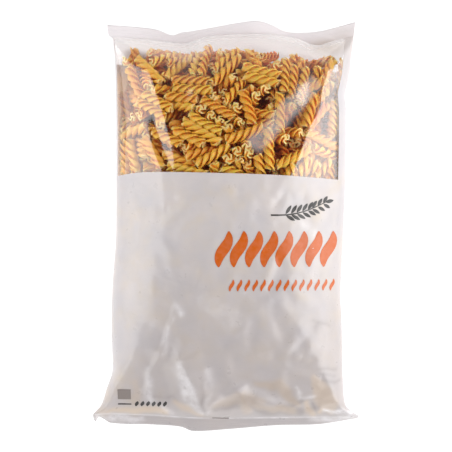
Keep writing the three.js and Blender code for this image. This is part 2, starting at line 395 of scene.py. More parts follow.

# Light in the film: what pale film and the warm lining let through, and how the clear film mirrors and hazes
TRANSLUCENT_SHARE = 0.6
LINING_TRANSLUCENCE = 0.9
MIRROR_SHARE = 0.105
SLANT_POWER = 5.0
SLANT_HAZE = 0.7
WHITE = (1.0, 1.0, 1.0)
CLEAR_TINT = (0.985, 0.985, 0.985)
MILK = (0.86, 0.83, 0.82)
THIN_INK = (0.36, 0.31, 0.29)

# The stage: the floor's reach, the camera's place over it and its sensor's width, all in millimetres, and
# the soft panels' places, targets and sizes in metres
FLOOR_REACH = 5000.0
CAMERA_PLACE = (0.35, 0.3)
SENSOR_WIDTH = 36.0
SIDE_PANEL_PLACE = (1.145, -0.4, 0.69)
SIDE_PANEL_TARGET = (0.0, -0.4, 0.02)
SIDE_PANEL_SIZE = (3.6, 1.36)
TOP_PANEL_PLACE = (0.0, 1.4, 0.375)
TOP_PANEL_TARGET = (0.0, 0.0, 0.02)
TOP_PANEL_SIZE = (1.7, 0.7)


def lerp(start, end, share):
    """Straight from start to end as share goes from 0 to 1."""
    return start + (end - start) * share


def through(keys, at):
    """Smooth curve through keys (place, value): between two keys it is the cubic whose slopes there are
    those of the line through the keys on either side, and beyond the last key it stays level."""
    place, value = np.array(keys, float).T
    ahead = np.minimum(np.arange(len(place)) + 1, len(place) - 1)
    behind = np.maximum(np.arange(len(place)) - 1, 0)
    slope = (value[ahead] - value[behind]) / (place[ahead] - place[behind])
    at = np.clip(at, place[0], place[-1])
    i = np.clip(np.searchsorted(place, at, side="right") - 1, 0, len(place) - 2)
    span = place[i + 1] - place[i]
    f = (at - place[i]) / span
    rise = f * f * (3 - 2 * f)
    bend = slope[i] * f * (1 - f) ** 2 - slope[i + 1] * f * f * (1 - f)
    return lerp(value[i], value[i + 1], rise) + span * bend


def fullness(t):
    """How full the packet is at body station t: 0 at each seal and 1 in its fullest part."""
    from_middle = 2 * t**FILL_SKEW - 1
    power = np.where(from_middle > 0, TOP_FILL_POWER, FILL_POWER)
    return np.maximum(0, 1 - np.abs(from_middle) ** power) ** FILL_ROUNDING


def top_inner(u):
    """The y of the top seal's inner line at place u."""
    return through(TOP_INNER, u)


def bottom_inner(u):
    """The y of the bottom seal's inner line at place u."""
    return through(BOTTOM_INNER, u)


def across(u, y):
    """The x of place u across the packet at y."""
    return lerp(through(LEFT_EDGE, y), through(RIGHT_EDGE, y), (u + 1) / 2)


def place_on_form(x, y):
    """The place u across and the body station t of a point seen from above."""
    left = through(LEFT_EDGE, y)
    right = through(RIGHT_EDGE, y)
    u = np.clip(2 * (x - left) / (right - left) - 1, -1, 1)
    low = bottom_inner(u)
    return u, np.clip((y - low) / (top_inner(u) - low), 0, 1)


def seal_level(u, t):
    """Height of the line between the two seals at place u, at station t."""
    return lerp(BOTTOM_SEAL_LEVEL + through(BOTTOM_WAVE, u), TOP_SEAL_LEVEL + through(TOP_WAVE, u), t)


def front_section(u, y):
    """The front's section, 1 in its middle and 0 at its side edges: a shallow parabola between the
    shoulders, then a square-root curve that ends upright at the edge. The shoulders are sharp in the clear
    film, and rounded where it is white."""
    half_width = (through(RIGHT_EDGE, y) - through(LEFT_EDGE, y)) / 2
    shoulder = np.where(u < 0, -through(LEFT_SHOULDER, y), through(RIGHT_SHOULDER, y))
    drop = CROWN_SLOPE * shoulder * half_width / 2 / (FULL_THICKNESS - SIDE_HEIGHT)
    crown = 1 - drop * (u / shoulder) ** 2
    side = (1 - drop) * ((1 - np.abs(u)) / (1 - shoulder)) ** SIDE_POWER
    rounding = SHOULDER_ROUNDING / (1 + np.exp((y - WHITE_START) / WHITE_FADE))
    return (crown + side - np.sqrt((crown - side) ** 2 + rounding**2)) / 2


def front_form(x, y):
    """Height of the filled front: its section, which swells from each seal."""
    u, t = place_on_form(x, y)
    level, full = seal_level(u, t), fullness(t)
    return lerp(lerp(level, SIDE_HEIGHT, full), lerp(level, FULL_THICKNESS, full), front_section(u, y))


def back_form(x, y):
    """Height of the back, a boxier section that its weight presses flat on the floor."""
    u, t = place_on_form(x, y)
    level, full = seal_level(u, t), fullness(t)
    round_share = (1 - np.abs(u) ** BACK_POWER) ** BACK_ROUNDING
    under = lerp(level, -BACK_PRESS, full**BACK_SWELL)
    return np.maximum(0, lerp(lerp(level, SIDE_HEIGHT, full), under, round_share))


def free_share(x, y):
    """How free the film is to fold: 0 on the side edges and seal lines, near 1 a few millimetres away."""
    u, t = place_on_form(x, y)
    half_width = (through(RIGHT_EDGE, y) - through(LEFT_EDGE, y)) / 2
    length = top_inner(u) - bottom_inner(u)
    from_side = (1 - np.abs(u)) * half_width
    from_seal = np.minimum(t, 1 - t) * length
    return (1 - np.exp(-from_side / FREE_DISTANCE)) * (1 - np.exp(-from_seal / FREE_DISTANCE))


def nearest_on_line(x, y, line):
    """Distance to a line of points, less than 0 on its right, and how far along it the nearest point is."""
    points = np.array(line, float)
    lengths = np.hypot(*np.diff(points, axis=0).T)
    total = lengths.sum()
    distance = np.full(np.shape(x), np.inf)
    side = np.ones(np.shape(x))
    along = np.zeros(np.shape(x))
    passed = 0.0
    for start, end, length in zip(points[:-1], points[1:], lengths):
        step = (end - start) / length
        dx, dy = x - start[0], y - start[1]
        travel = np.clip(dx * step[0] + dy * step[1], 0, length)
        away = np.hypot(dx - travel * step[0], dy - travel * step[1])
        nearer = away < distance
        distance = np.where(nearer, away, distance)
        side = np.where(nearer, np.sign(step[0] * dy - step[1] * dx), side)
        along = np.where(nearer, (passed + travel) / total, along)
        passed += length
    return distance * side, along


def crease_height(x, y, crease):
    """One crease: a tent over its line, with a slightly rounded crest and foot, low at both ends."""
    line, left, right, height = crease
    distance, along = nearest_on_line(x, y, line)
    width = np.where(distance > 0, left, right)
    rounded = np.sqrt(distance**2 + CREASE_ROUNDING**2) - CREASE_ROUNDING
    share = 1 - rounded / width
    tent = (share + np.sqrt(share**2 + CREASE_FOOT**2)) / 2
    swell = CREASE_END_HEIGHT + CREASE_SWELL * np.sin(np.pi * along) ** 0.5
    return height * np.where(share > -2, tent, 0) * swell


def press_share(x, y, spirals):
    """How much the spirals hold the film out: 1 over a spiral that touches it, fading over its width."""
    open_share = np.ones(np.shape(x))
    for centre, half, touch in zip(spirals["centre"], spirals["half_axis"], spirals["touch"]):
        if touch < LEAST_TOUCH:
            continue
        dx, dy = x - centre[0], y - centre[1]
        length_squared = half[0] ** 2 + half[1] ** 2 + 1e-6
        travel = np.clip((dx * half[0] + dy * half[1]) / length_squared, -1, 1)
        away = (dx - travel * half[0]) ** 2 + (dy - travel * half[1]) ** 2
        open_share *= 1 - touch * np.exp(-away / PRESS_WIDTH**2)
    return 1 - open_share


def film_sag(y):
    """How far the front film sinks between the spirals: more where it is white."""
    sizes = bpy.context.scene.packet_film
    clear_share = 1 / (1 + np.exp((WHITE_START - y) / WHITE_FADE))
    return lerp(sizes.sag, sizes.window_sag, clear_share) / MM


def film_height(x, y):
    """Height of the front film: the form, its creases, and the sag between the spirals that hold it."""
    relief = sum(crease_height(x, y, crease) for crease in CREASES)
    held = np.maximum(press_share(x, y, settled_spirals()), press_share(x, y, hidden_presses()))
    return front_form(x, y) + free_share(x, y) * (relief - film_sag(y) * (1 - held))


def roof_height(x, y):
    """What the spirals stay under: the film at its lowest."""
    clearance = bpy.context.scene.packet_film.clearance / MM
    relief = sum(crease_height(x, y, crease) for crease in CREASES)
    return front_form(x, y) + free_share(x, y) * relief - film_sag(y) - clearance


def closest_shares(centre_a, half_a, centre_b, half_b):
    """Where two bars come closest, as shares -1 to 1 of each bar's half-axis: the nearest points of their
    two lines, held within the bars one after the other."""
    gap = centre_a - centre_b
    aa = np.einsum("ij,ij->i", half_a, half_a)
    bb = np.einsum("ij,ij->i", half_b, half_b)
    ab = np.einsum("ij,ij->i", half_a, half_b)
    ag = np.einsum("ij,ij->i", half_a, gap)
    bg = np.einsum("ij,ij->i", half_b, gap)
    apart = aa * bb - ab * ab
    a = np.clip((ab * bg - bb * ag) / np.maximum(apart, 1e-9), -1, 1)
    b = np.clip((ab * a + bg) / bb, -1, 1)
    a = np.clip((ab * b - ag) / aa, -1, 1)
    return a, b


def crossing_pairs(centre, reach):
    """Pairs of bars whose middles are close enough for the bars to meet."""
    first, second = np.triu_indices(len(centre), 1)
    apart = np.linalg.norm(centre[first] - centre[second], axis=1)
    near = apart < reach[first] + reach[second]
    return first[near], second[near]


def push_apart(centre, half, radius, pairs):
    """Moves and turns bars that are closer than their radii, half of the overlap each."""
    first, second = pairs
    a, b = closest_shares(centre[first], half[first], centre[second], half[second])
    gap = centre[first] + a[:, None] * half[first] - centre[second] - b[:, None] * half[second]
    distance = np.linalg.norm(gap, axis=1) + 1e-9
    overlap = np.maximum(0, radius[first] + radius[second] - distance)
    push = gap / distance[:, None] * (overlap / 2)[:, None]
    for index, share, step in ((first, a, push), (second, b, -push)):
        np.add.at(centre, index, PUSH_SHARE * step)
        np.add.at(half, index, PUSH_TURN * share[:, None] * step)


@functools.cache
def heap_space():
    """The space for the middles of spirals, on a grid of places GRID_STEP apart: how low and how high a ball
    as thick as a spiral can be without touching either film, and the lowest and highest x and the highest y
    where it fits. Around each place the films are looked up over the ball's whole width."""
    radius = FIT_ALLOWANCE * bpy.context.scene.packet_pasta.diameter / MM / 2
    x_places = np.arange(GRID_X[0], GRID_X[1] + GRID_STEP, GRID_STEP)
    y_places = np.arange(GRID_Y[0], GRID_Y[1] + GRID_STEP, GRID_STEP)
    x, y = np.meshgrid(x_places, y_places)
    inside = (x > through(LEFT_EDGE, y) + EDGE_GAP) & (x < through(RIGHT_EDGE, y) - EDGE_GAP)
    roof = np.where(inside, roof_height(x, y), -NEVER)
    floor = np.where(inside, np.maximum(back_form(x, y), front_form(x, y) - HEAP_DEPTH), NEVER)
    reach = int(radius / GRID_STEP)
    highest_middle, lowest_middle = roof - radius, floor + radius
    for down in range(-reach, reach + 1):
        for right in range(-reach, reach + 1):
            away_squared = (down**2 + right**2) * GRID_STEP**2
            if away_squared > radius**2:
                continue
            rise = math.sqrt(radius**2 - away_squared)
            highest_middle = np.minimum(highest_middle, np.roll(roof, (down, right), (0, 1)) - rise)
            lowest_middle = np.maximum(lowest_middle, np.roll(floor, (down, right), (0, 1)) + rise)
    fits = highest_middle > lowest_middle
    left = x_places[np.argmax(fits, axis=1)]
    right = x_places[len(x_places) - 1 - np.argmax(fits[:, ::-1], axis=1)]
    top = y_places[len(y_places) - 1 - np.argmax(fits[::-1], axis=0)]
    ripple = HEAP_RIPPLE * np.sin(2 * np.pi * x_places / RIPPLE_LENGTH)
    top = np.minimum(np.where(fits.any(axis=0), top, 0), through(HEAP_TOP, x_places) + ripple - radius / 2)
    return {"x": x_places, "y": y_places, "low": lowest_middle, "high": highest_middle,
            "left": left, "right": right, "top": top}


def look_up(space, key, x, y):
    """A height of the heap's space at places x, y, straight between the grid's places."""
    column = np.clip((x - space["x"][0]) / GRID_STEP, 0, len(space["x"]) - 1.001)
    row = np.clip((y - space["y"][0]) / GRID_STEP, 0, len(space["y"]) - 1.001)
    i, j = row.astype(int), column.astype(int)
    f, g = row - i, column - j
    table = space[key]
    return lerp(lerp(table[i, j], table[i, j + 1], g), lerp(table[i + 1, j], table[i + 1, j + 1], g), f)


def hold_inside(centre, half, length):
    """Keeps bars between the back film and the front film, and inside the heap's sides and ends."""
    space = heap_space()
    heap_start = min(WINDOW_EDGE[0][1], WINDOW_EDGE[-1][1]) - HEAP_UNDER_WHITE
    for share in (-1.0, -0.5, 0.0, 0.5, 1.0):
        x, y, z = (centre + share * half).T
        new_y = np.clip(y, heap_start, np.interp(x, space["x"], space["top"]))
        left, right = (np.interp(new_y, space["y"], space[side]) for side in ("left", "right"))
        new_x = np.clip(x, left, right)
        low, high = (look_up(space, level, new_x, new_y) for level in ("low", "high"))
        new_z = np.clip(z, np.minimum(low, high), np.maximum(high, 0))
        push = np.stack([new_x - x, new_y - y, new_z - z], axis=-1)
        centre += HOLD_SHARE * push
        half += HOLD_TURN * share * push
    half *= (length / np.linalg.norm(half, axis=1))[:, None]


@functools.cache
def settled_spirals():
    """The spirals under the window: bars with round ends, thrown in at random and pushed apart while they
    drift outwards, up and against the front film."""
    sizes = bpy.context.scene.packet_pasta
    draw = np.random.default_rng(sizes.seed)
    count = sizes.count
    radius = sizes.diameter / MM / 2 * draw.normal(1, RADIUS_SPREAD, count)
    reach = radius * sizes.contact
    length = sizes.length / MM * draw.uniform(*LENGTH_RANGE, count) / 2 - ROUND_END * radius
    x = draw.uniform(*THROW_X, count)
    y = draw.uniform(*THROW_Y, count)
    depth = draw.uniform(0, 1, count) ** THROW_POWER * (HEAP_DEPTH - THROW_MARGIN) + THROW_TOP
    centre = np.column_stack([x, y, np.maximum(front_form(x, y) - depth, back_form(x, y) + THROW_BOTTOM)])
    turn = draw.uniform(0, np.pi, count)
    rise = draw.normal(0, 1.0, count)
    half = np.column_stack([np.cos(turn) * np.cos(rise), np.sin(turn) * np.cos(rise), np.sin(rise)])
    half *= length[:, None]
    for step in range(sizes.steps):
        if step % PAIR_STEPS == 0:
            pairs = crossing_pairs(centre, length + PAIR_REACH * radius)
        if step < DRIFT_SHARE * sizes.steps:
            u, _ = place_on_form(centre[:, 0], centre[:, 1])
            centre[:, 0] += DRIFT[0] * u**3
            centre[:, 1] += DRIFT[1]
            centre[:, 2] += DRIFT[2] * (np.abs(u) < LIFT_WIDTH)
        push_apart(centre, half, reach, pairs)
        hold_inside(centre, half, length)
    for _ in range(LAST_HOLDS):
        hold_inside(centre, half, length)
    gap = look_up(heap_space(), "high", centre[:, 0], centre[:, 1]) - centre[:, 2]
    spirals = {
        "centre": centre,
        "half_axis": half,
        "radius": radius,
        "length": 2 * (length + ROUND_END * radius),
        "roll": draw.uniform(0, 2 * np.pi, count),
        "tone": draw.uniform(0, 1, count),
        "bend": draw.uniform(-BEND, BEND, count),
        "pitch": sizes.pitch / MM * draw.normal(1, PITCH_SPREAD, count),
        "flare": draw.uniform(*FLARE_RANGE, (count, 2)),
        "slant": draw.uniform(-SLANT, SLANT, (count, 2, 2)),
        "gap": gap,
        "touch": np.exp(-np.maximum(0, gap) / TOUCH_FADE),
    }
    inside = lies_inside(spirals)
    return {key: values[inside] for key, values in spirals.items()}


def lies_inside(spirals):
    """Which spirals lie wholly between the two films and inside the packet's side edges."""
    everyone = np.arange(len(spirals["radius"]))
    points, *_ = spiral_batch(spirals, everyone, *TEST_MESH)
    x, y, z = points.reshape(len(everyone), -1, 3).transpose(2, 0, 1)
    between_edges = (x > through(LEFT_EDGE, y) + EDGE_MARGIN) & (x < through(RIGHT_EDGE, y) - EDGE_MARGIN)
    between_films = (z < roof_height(x, y) + film_sag(y)) & (z > back_form(x, y))
    return (between_edges & between_films).all(axis=1)


@functools.cache
def hidden_presses():
    """Where pasta presses on the white film: one bar in each cell of a slanted grid, moved and turned at
    random."""
    draw = np.random.default_rng(HIDDEN_SEED)
    column, row = np.meshgrid(np.arange(-7, 8), np.arange(-9, 3))
    count = column.size
    x = (column + 0.5 * (row % 2)).ravel() * HIDDEN_PITCH[0] + draw.uniform(*HIDDEN_SHIFT, count)
    y = row.ravel() * HIDDEN_PITCH[1] + 5 + draw.uniform(*HIDDEN_SHIFT, count)
    turn = draw.uniform(0, np.pi, count)
    half = HIDDEN_REACH * np.column_stack([np.cos(turn), np.sin(turn), np.zeros(count)])
    return {
        "centre": np.column_stack([x, y, np.zeros(count)]),
        "half_axis": half,
        "touch": draw.uniform(0.25, 1, count) * (y < HIDDEN_TOP),
    }


def form_place():
    """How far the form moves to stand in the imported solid's box, in millimetres: the middle of its cut
    edges goes to the middle of the box."""
    low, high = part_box(NODE)
    u = np.linspace(-1, 1, 400)
    middle = (through(BOTTOM_CUT, u).min() + through(TOP_CUT, u).max()) / 2
    return np.array([0.0, (low.y + high.y) / 2 / MM - middle, 0.0])


def new_mesh_object(name, points, faces):
    """A smooth mesh object from points in millimetres and arrays of faces, each array with its own number
    of corners."""
    mesh = bpy.data.meshes.new(name)
    corners = np.concatenate([f.ravel() for f in faces])
    sizes = np.concatenate([np.full(len(f), f.shape[1]) for f in faces])
    mesh.vertices.add(len(points))
    mesh.vertices.foreach_set("co", ((points + form_place()) * MM).astype(np.float32).ravel())
    mesh.loops.add(len(corners))
    mesh.loops.foreach_set("vertex_index", corners.astype(np.int32))
    mesh.polygons.add(len(sizes))
    loop_start = np.concatenate([[0], np.cumsum(sizes)[:-1]])
    mesh.polygons.foreach_set("loop_start", loop_start.astype(np.int32))
    mesh.update(calc_edges=True)
    mesh.polygons.foreach_set("use_smooth", np.full(len(sizes), True))
    mesh.validate()
    piece = bpy.data.objects.new(name, mesh)
    bpy.context.scene.collection.objects.link(piece)
    return piece


def add_share(piece, name, values):
    """Keeps one number for each point of the mesh, for the materials to read."""
    attribute = piece.data.attributes.new(name, "FLOAT", "POINT")
    attribute.data.foreach_set("value", np.asarray(values, np.float32).ravel())


def grid_faces(rows, columns, first=0):
    """Four-cornered faces of a grid of points kept row by row, facing up when rows run along Y."""
    index = first + np.arange(rows * columns).reshape(rows, columns)
    corners = [index[:-1, :-1], index[:-1, 1:], index[1:, 1:], index[1:, :-1]]
    return np.stack(corners, axis=-1).reshape(-1, 4)


# Materials


def new_material(name):
    """A node material, its tree and its Principled shader."""
    material = bpy.data.materials.new(name)
    material.use_nodes = True
    return material, material.node_tree, material.node_tree.nodes["Principled BSDF"]


def feed(tree, socket, value):
    """Links a socket to an input, or sets the input to a value."""
    if isinstance(value, bpy.types.NodeSocket):
        tree.links.new(value, socket)
    else:
        socket.default_value = value


def add_node(tree, kind, settings=(), **inputs):
    """A node with its settings, and its inputs by name: a socket is linked and a value is set."""
    node = tree.nodes.new(kind)
    for key, value in dict(settings).items():
        setattr(node, key, value)
    for key, value in inputs.items():
        wanted = key.replace("_", " ")
        feed(tree, next(s for s in node.inputs if s.name == wanted and s.enabled), value)
    return node


def object_coordinates(tree):
    """The point's place on its own piece, in metres."""
    return add_node(tree, "ShaderNodeTexCoord").outputs["Object"]


def noise(tree, scale, detail=3.0, roughness=0.5):
    """Noise over Object coordinates, with scale in waves to the metre."""
    place = object_coordinates(tree)
    node = add_node(tree, "ShaderNodeTexNoise", Vector=place, Scale=scale, Detail=detail, Roughness=roughness)
    return node.outputs["Fac"]


def point_share(tree, name):
    """The number that add_share keeps under a name."""
    return add_node(tree, "ShaderNodeAttribute", {"attribute_name": name}).outputs["Fac"]


def remap(tree, value, low, high, to_low, to_high):
    """value from low to high becomes to_low to to_high, and stays within them."""
    ends = {"From_Min": low, "From_Max": high, "To_Min": to_low, "To_Max": to_high}
    return add_node(tree, "ShaderNodeMapRange", Value=value, **ends).outputs["Result"]


def clouds(tree, scale, low, high, detail=3.0, roughness=0.5, reach=SOFT_CLOUDS):
    """Noise that goes from low to high while its own value goes over its reach."""
    return remap(tree, noise(tree, scale, detail, roughness), *reach, low, high)


def calculate(tree, operation, first, second=0.0):
    """One step of arithmetic on two values or sockets."""
    node = tree.nodes.new("ShaderNodeMath")
    node.operation = operation
    for socket, value in zip(node.inputs, (first, second)):
        feed(tree, socket, value)
    return node.outputs["Value"]


def mix_colours(tree, share, first, second):
    """From the first colour to the second as share goes from 0 to 1."""
    node = tree.nodes.new("ShaderNodeMix")
    node.data_type = "RGBA"
    for key, value in (("Factor_Float", share), ("A_Color", first), ("B_Color", second)):
        feed(tree, next(s for s in node.inputs if s.identifier == key), value)
    return next(s for s in node.outputs if s.identifier == "Result_Color")


def bump(tree, height, distance, strength=1.0):
    """Bumps whose height input goes from 0 to 1 over distance, in metres."""
    node = add_node(tree, "ShaderNodeBump", Height=height, Distance=distance, Strength=strength)
    return node.outputs["Normal"]


def film_wrinkles(tree, strength):
    """Fine slack in thin film: soft ripples, finer ones and a network of narrow creases, drawn out a little
    across the packet. A crease is where broad noise passes its middle value."""
    place = add_node(tree, "ShaderNodeMapping", Vector=object_coordinates(tree), Scale=WRINKLE_STRETCH)
    stretched = place.outputs["Vector"]
    soft, fine, broad = (
        add_node(tree, "ShaderNodeTexNoise", Vector=stretched, Scale=scale, Detail=detail, Distortion=wander)
        for scale, detail, wander in ((75.0, 2.0, 0.0), (150.0, 1.5, 0.0), (34.0, 1.5, 0.5))
    )
    from_middle = calculate(tree, "ABSOLUTE", calculate(tree, "SUBTRACT", broad.outputs["Fac"], 0.5))
    creases = remap(tree, from_middle, 0.0, WRINKLE_WIDTH, 1.0, 0.0)
    height = 0.0
    for layer, share in ((soft.outputs["Fac"], 0.7), (fine.outputs["Fac"], 0.2), (creases, 0.12)):
        height = calculate(tree, "ADD", calculate(tree, "MULTIPLY", layer, share), height)
    return bump(tree, height, WRINKLE_HEIGHT, strength)


def film_gloss(tree, shader, specular):
    """A film's uneven gloss and its wrinkles, on a Principled shader."""
    tree.links.new(clouds(tree, 160.0, 0.27, 0.36), shader.inputs["Roughness"])
    shader.inputs["Specular IOR Level"].default_value = specular
    tree.links.new(film_wrinkles(tree, 0.5), shader.inputs["Normal"])


def mixed_shader(tree, share, first, second):
    """The output of a shader that goes from the first to the second as share goes from 0 to 1."""
    node = add_node(tree, "ShaderNodeMixShader", Fac=share)
    tree.links.new(first, node.inputs[1])
    tree.links.new(second, node.inputs[2])
    return node.outputs[0]


def rgba(colour):
    """A colour with full opacity."""
    return (*colour, 1.0)


def printed_film_material():
    """Milky white film: warmer and darker where pasta presses on it, paler in its two-film seals, glossy,
    with painted shade, painted highlights along its folds and painted light behind the empty top, near the
    top seal and on the back's sides. Pale film and the warm lining let light through."""
    colours = bpy.context.scene.packet_film
    material, tree, shader = new_material("white_film")
    pressed = calculate(
        tree, "MULTIPLY", point_share(tree, "press"), clouds(tree, 75.0, 0.0, 1.0, 4.0, 0.55, FIRM_CLOUDS)
    )
    # Painted highlights along the folds, broken up by noise
    folded = calculate(
        tree, "MULTIPLY", point_share(tree, "fold"), clouds(tree, 110.0, 0.3, 1.2, 4.0, 0.6, FIRM_CLOUDS)
    )
    colour = rgba(colours.white)
    for share, over in (
        (pressed, colours.warm_white),
        (clouds(tree, 42.0, 0.0, 0.8, reach=FIRM_CLOUDS), colours.cool_white),
        # Painted shade, darker towards the bottom seal
        (point_share(tree, "shade"), colours.painted_shade_white),
        (point_share(tree, "lining"), colours.lining),
        # Paler in the top seal's two films, and painted light behind the empty top, near the top seal and at
        # the sides
        (point_share(tree, "pale"), colours.seal_white_and_painted_light),
        (point_share(tree, "beige"), colours.beige),
        # Painted highlights along the folds
        (folded, colours.painted_highlight_white),
    ):
        colour = mix_colours(tree, share, colour, rgba(over))
    tree.links.new(colour, shader.inputs["Base Color"])
    film_gloss(tree, shader, 0.6)
    glowing = add_node(tree, "ShaderNodeBsdfTranslucent", Color=colour)
    lining_light = calculate(tree, "MULTIPLY", point_share(tree, "lining"), LINING_TRANSLUCENCE)
    lit_from_behind = calculate(tree, "MAXIMUM", point_share(tree, "pale"), lining_light)
    share = calculate(tree, "MULTIPLY", lit_from_behind, TRANSLUCENT_SHARE)
    both = mixed_shader(tree, share, shader.outputs[0], glowing.outputs[0])
    tree.links.new(both, tree.nodes["Material Output"].inputs["Surface"])
    return material


def window_film_material():
    """Clear film: see-through with a mirror-like share that grows at a slant, and an uneven haze that is thin
    where the film is seen straight on, thicker at a slant and milky in its folds, which is painted
    reflection."""
    material, tree, shader = new_material("clear_film")
    tree.nodes.remove(shader)
    normal = film_wrinkles(tree, 0.25)
    clear = add_node(tree, "ShaderNodeBsdfTransparent", Color=rgba(CLEAR_TINT)).outputs[0]
    mirror = {"Color": rgba(WHITE), "Roughness": 0.15, "Normal": normal}
    gloss = add_node(tree, "ShaderNodeBsdfAnisotropic", **mirror).outputs[0]
    milk = add_node(tree, "ShaderNodeBsdfDiffuse", Color=rgba(MILK)).outputs[0]
    facing = add_node(tree, "ShaderNodeLayerWeight", Blend=0.5, Normal=normal).outputs["Facing"]
    at_slant = calculate(tree, "POWER", facing, SLANT_POWER)
    bright = mixed_shader(tree, remap(tree, at_slant, 0.0, 1.0, MIRROR_SHARE, 1.0), clear, gloss)
    # Painted reflection: milk in the folded bands and along the top seal
    haze = calculate(tree, "MULTIPLY", point_share(tree, "fold"), clouds(tree, 140.0, 0.75, 1.15))
    haze = calculate(tree, "ADD", haze, clouds(tree, 60.0, 0.0, 0.002))
    slant_haze = calculate(tree, "MULTIPLY", calculate(tree, "POWER", facing, 2.0), SLANT_HAZE)
    haze = calculate(tree, "ADD", haze, slant_haze)
    tree.links.new(mixed_shader(tree, haze, bright, milk), tree.nodes["Material Output"].inputs["Surface"])
    return material


def pasta_material():
    """Dry durum pasta: amber, with painted shade that makes it redder at its arms' roots and deep in the
    heap, paler on their outer edges and cut ends and from piece to piece, faintly speckled, dull."""
    colours = bpy.context.scene.packet_pasta
    material, tree, shader = new_material("pasta")
    colour = rgba(colours.amber)
    for share, over in (
        (point_share(tree, "tone"), colours.gold),
        # Painted shade, redder at the arms' roots
        (remap(tree, point_share(tree, "rim"), 0.15, 0.62, 0.55, 0.0), colours.painted_shade_russet),
        # Painted shade, redder deep in the heap
        (point_share(tree, "deep"), colours.painted_shade_russet),
        (remap(tree, point_share(tree, "rim"), END_START, 1.0, 0.1, 0.9), colours.pale),
        (clouds(tree, 900.0, 0.0, 0.12, 4.0, 0.6, SPECKS), colours.pale),
    ):
        colour = mix_colours(tree, share, colour, rgba(over))
    tree.links.new(colour, shader.inputs["Base Color"])
    tree.links.new(clouds(tree, 500.0, 0.38, 0.55), shader.inputs["Roughness"])
    shader.inputs["Specular IOR Level"].default_value = 0.6
    shader.inputs["Subsurface Weight"].default_value = 0.4
    shader.inputs["Subsurface Radius"].default_value = (0.003, 0.0012, 0.0003)
    shader.inputs["Subsurface Scale"].default_value = 1.0
    tree.links.new(bump(tree, noise(tree, 1300.0, 3.0), 0.00012), shader.inputs["Normal"])
    return material


def ink_material(name, colour):
    """Flat printed ink under the film's gloss, a little uneven in depth, and thinner where "tint" says so."""
    material, tree, shader = new_material(name)
    paler = tuple(lerp(c, 1.0, 0.03) for c in colour)
    thin = tuple(lerp(c, grey, 0.6) for c, grey in zip(colour, THIN_INK))
    body = mix_colours(tree, clouds(tree, 300.0, 0.0, 1.0, 4.0, reach=FIRM_CLOUDS), rgba(colour), rgba(paler))
    body = mix_colours(tree, point_share(tree, "tint"), body, rgba(thin))
    tree.links.new(body, shader.inputs["Base Color"])
    film_gloss(tree, shader, 0.5)
    return material


# The film


def film_columns():
    """Places u across the front, closer together at the side edges, with one at each side of the window."""
    sizes = bpy.context.scene.packet_film
    left, right = (2 / np.pi * np.arcsin(edge) for edge in (LEFT_STRIP, RIGHT_STRIP))
    inner = sizes.columns - LEFT_COLUMNS - RIGHT_COLUMNS
    c = np.concatenate([
        np.linspace(-1, left, LEFT_COLUMNS + 1)[:-1],
        np.linspace(left, right, inner + 1)[:-1],
        np.linspace(right, 1, RIGHT_COLUMNS + 1),
    ])
    return np.sin(c * np.pi / 2), LEFT_COLUMNS, LEFT_COLUMNS + inner


def film_rows():
    """The shares that rows take of each stretch: bottom seal, white body, window and top seal. They are
    closer together near the seals."""
    sizes = bpy.context.scene.packet_film
    seal, white, window = (
        np.linspace(0, 1, count + 1) for count in (sizes.seal_rows, sizes.white_rows, sizes.window_rows)
    )
    down = 1 - window
    return seal, lerp(white**2, white, ROW_EVENNESS), 1 - lerp(down**2, down, ROW_EVENNESS), seal


def film_plan():
    """x, y, u of every point of the film's grid, and how much it is seal, row by row from the bottom."""
    u, _, _ = film_columns()
    bottom, white, window, top = (share[:, None] for share in film_rows())
    low, edge, high = bottom_inner(u), through(WINDOW_EDGE, u), top_inner(u)
    y = np.concatenate([
        lerp(through(BOTTOM_CUT, u), low, bottom[:-1]),
        lerp(low, edge, white[:-1]),
        lerp(edge, high, window[:-1]),
        lerp(high, through(TOP_CUT, u), top),
    ])
    seal = np.concatenate([1 - bottom[:-1], 0 * white[:-1], 0 * window[:-1], top]) + 0 * u
    u = u + 0 * y
    return across(u, y), y, u, seal


def seal_heights(u, y, seal):
    """Heights of the film's middle on both seals, with the crimped ribs that the sealing jaws leave."""
    sizes = bpy.context.scene.packet_film
    at_top = y > 0
    level = np.where(at_top, seal_level(u, 1.0), seal_level(u, 0.0) - BOTTOM_SEAL_DROOP * seal)
    ribs = np.sin(2 * np.pi * seal * SEAL_HEIGHT / (sizes.crimp_pitch / MM))
    return level + sizes.crimp_depth / MM * ribs * np.sin(np.pi * seal)


def film_sheets():
    """The front and back sheets as grids of points. They meet along the side edges and the cut edges."""
    sizes = bpy.context.scene.packet_film
    x, y, u, seal = film_plan()
    in_seal = seal > 0
    ends = np.zeros_like(y)
    ends[0], ends[-1] = 1, 1
    half_gap = sizes.gap / MM / 2 * np.sqrt(1 - u**2) * (1 - ends)
    middle = seal_heights(u, y, seal)
    front = np.where(in_seal, middle, film_height(x, y)) + half_gap
    lap = np.exp(-((x - LAP_PLACE) / LAP_WIDTH) ** 8)
    back = back_form(x, y) + LAP_HEIGHT * (1 - lap) * free_share(x, y)
    back = np.where(in_seal, middle, back) - half_gap
    return np.stack([x, y, front], axis=-1), np.stack([x, y, np.maximum(back, 0)], axis=-1), seal


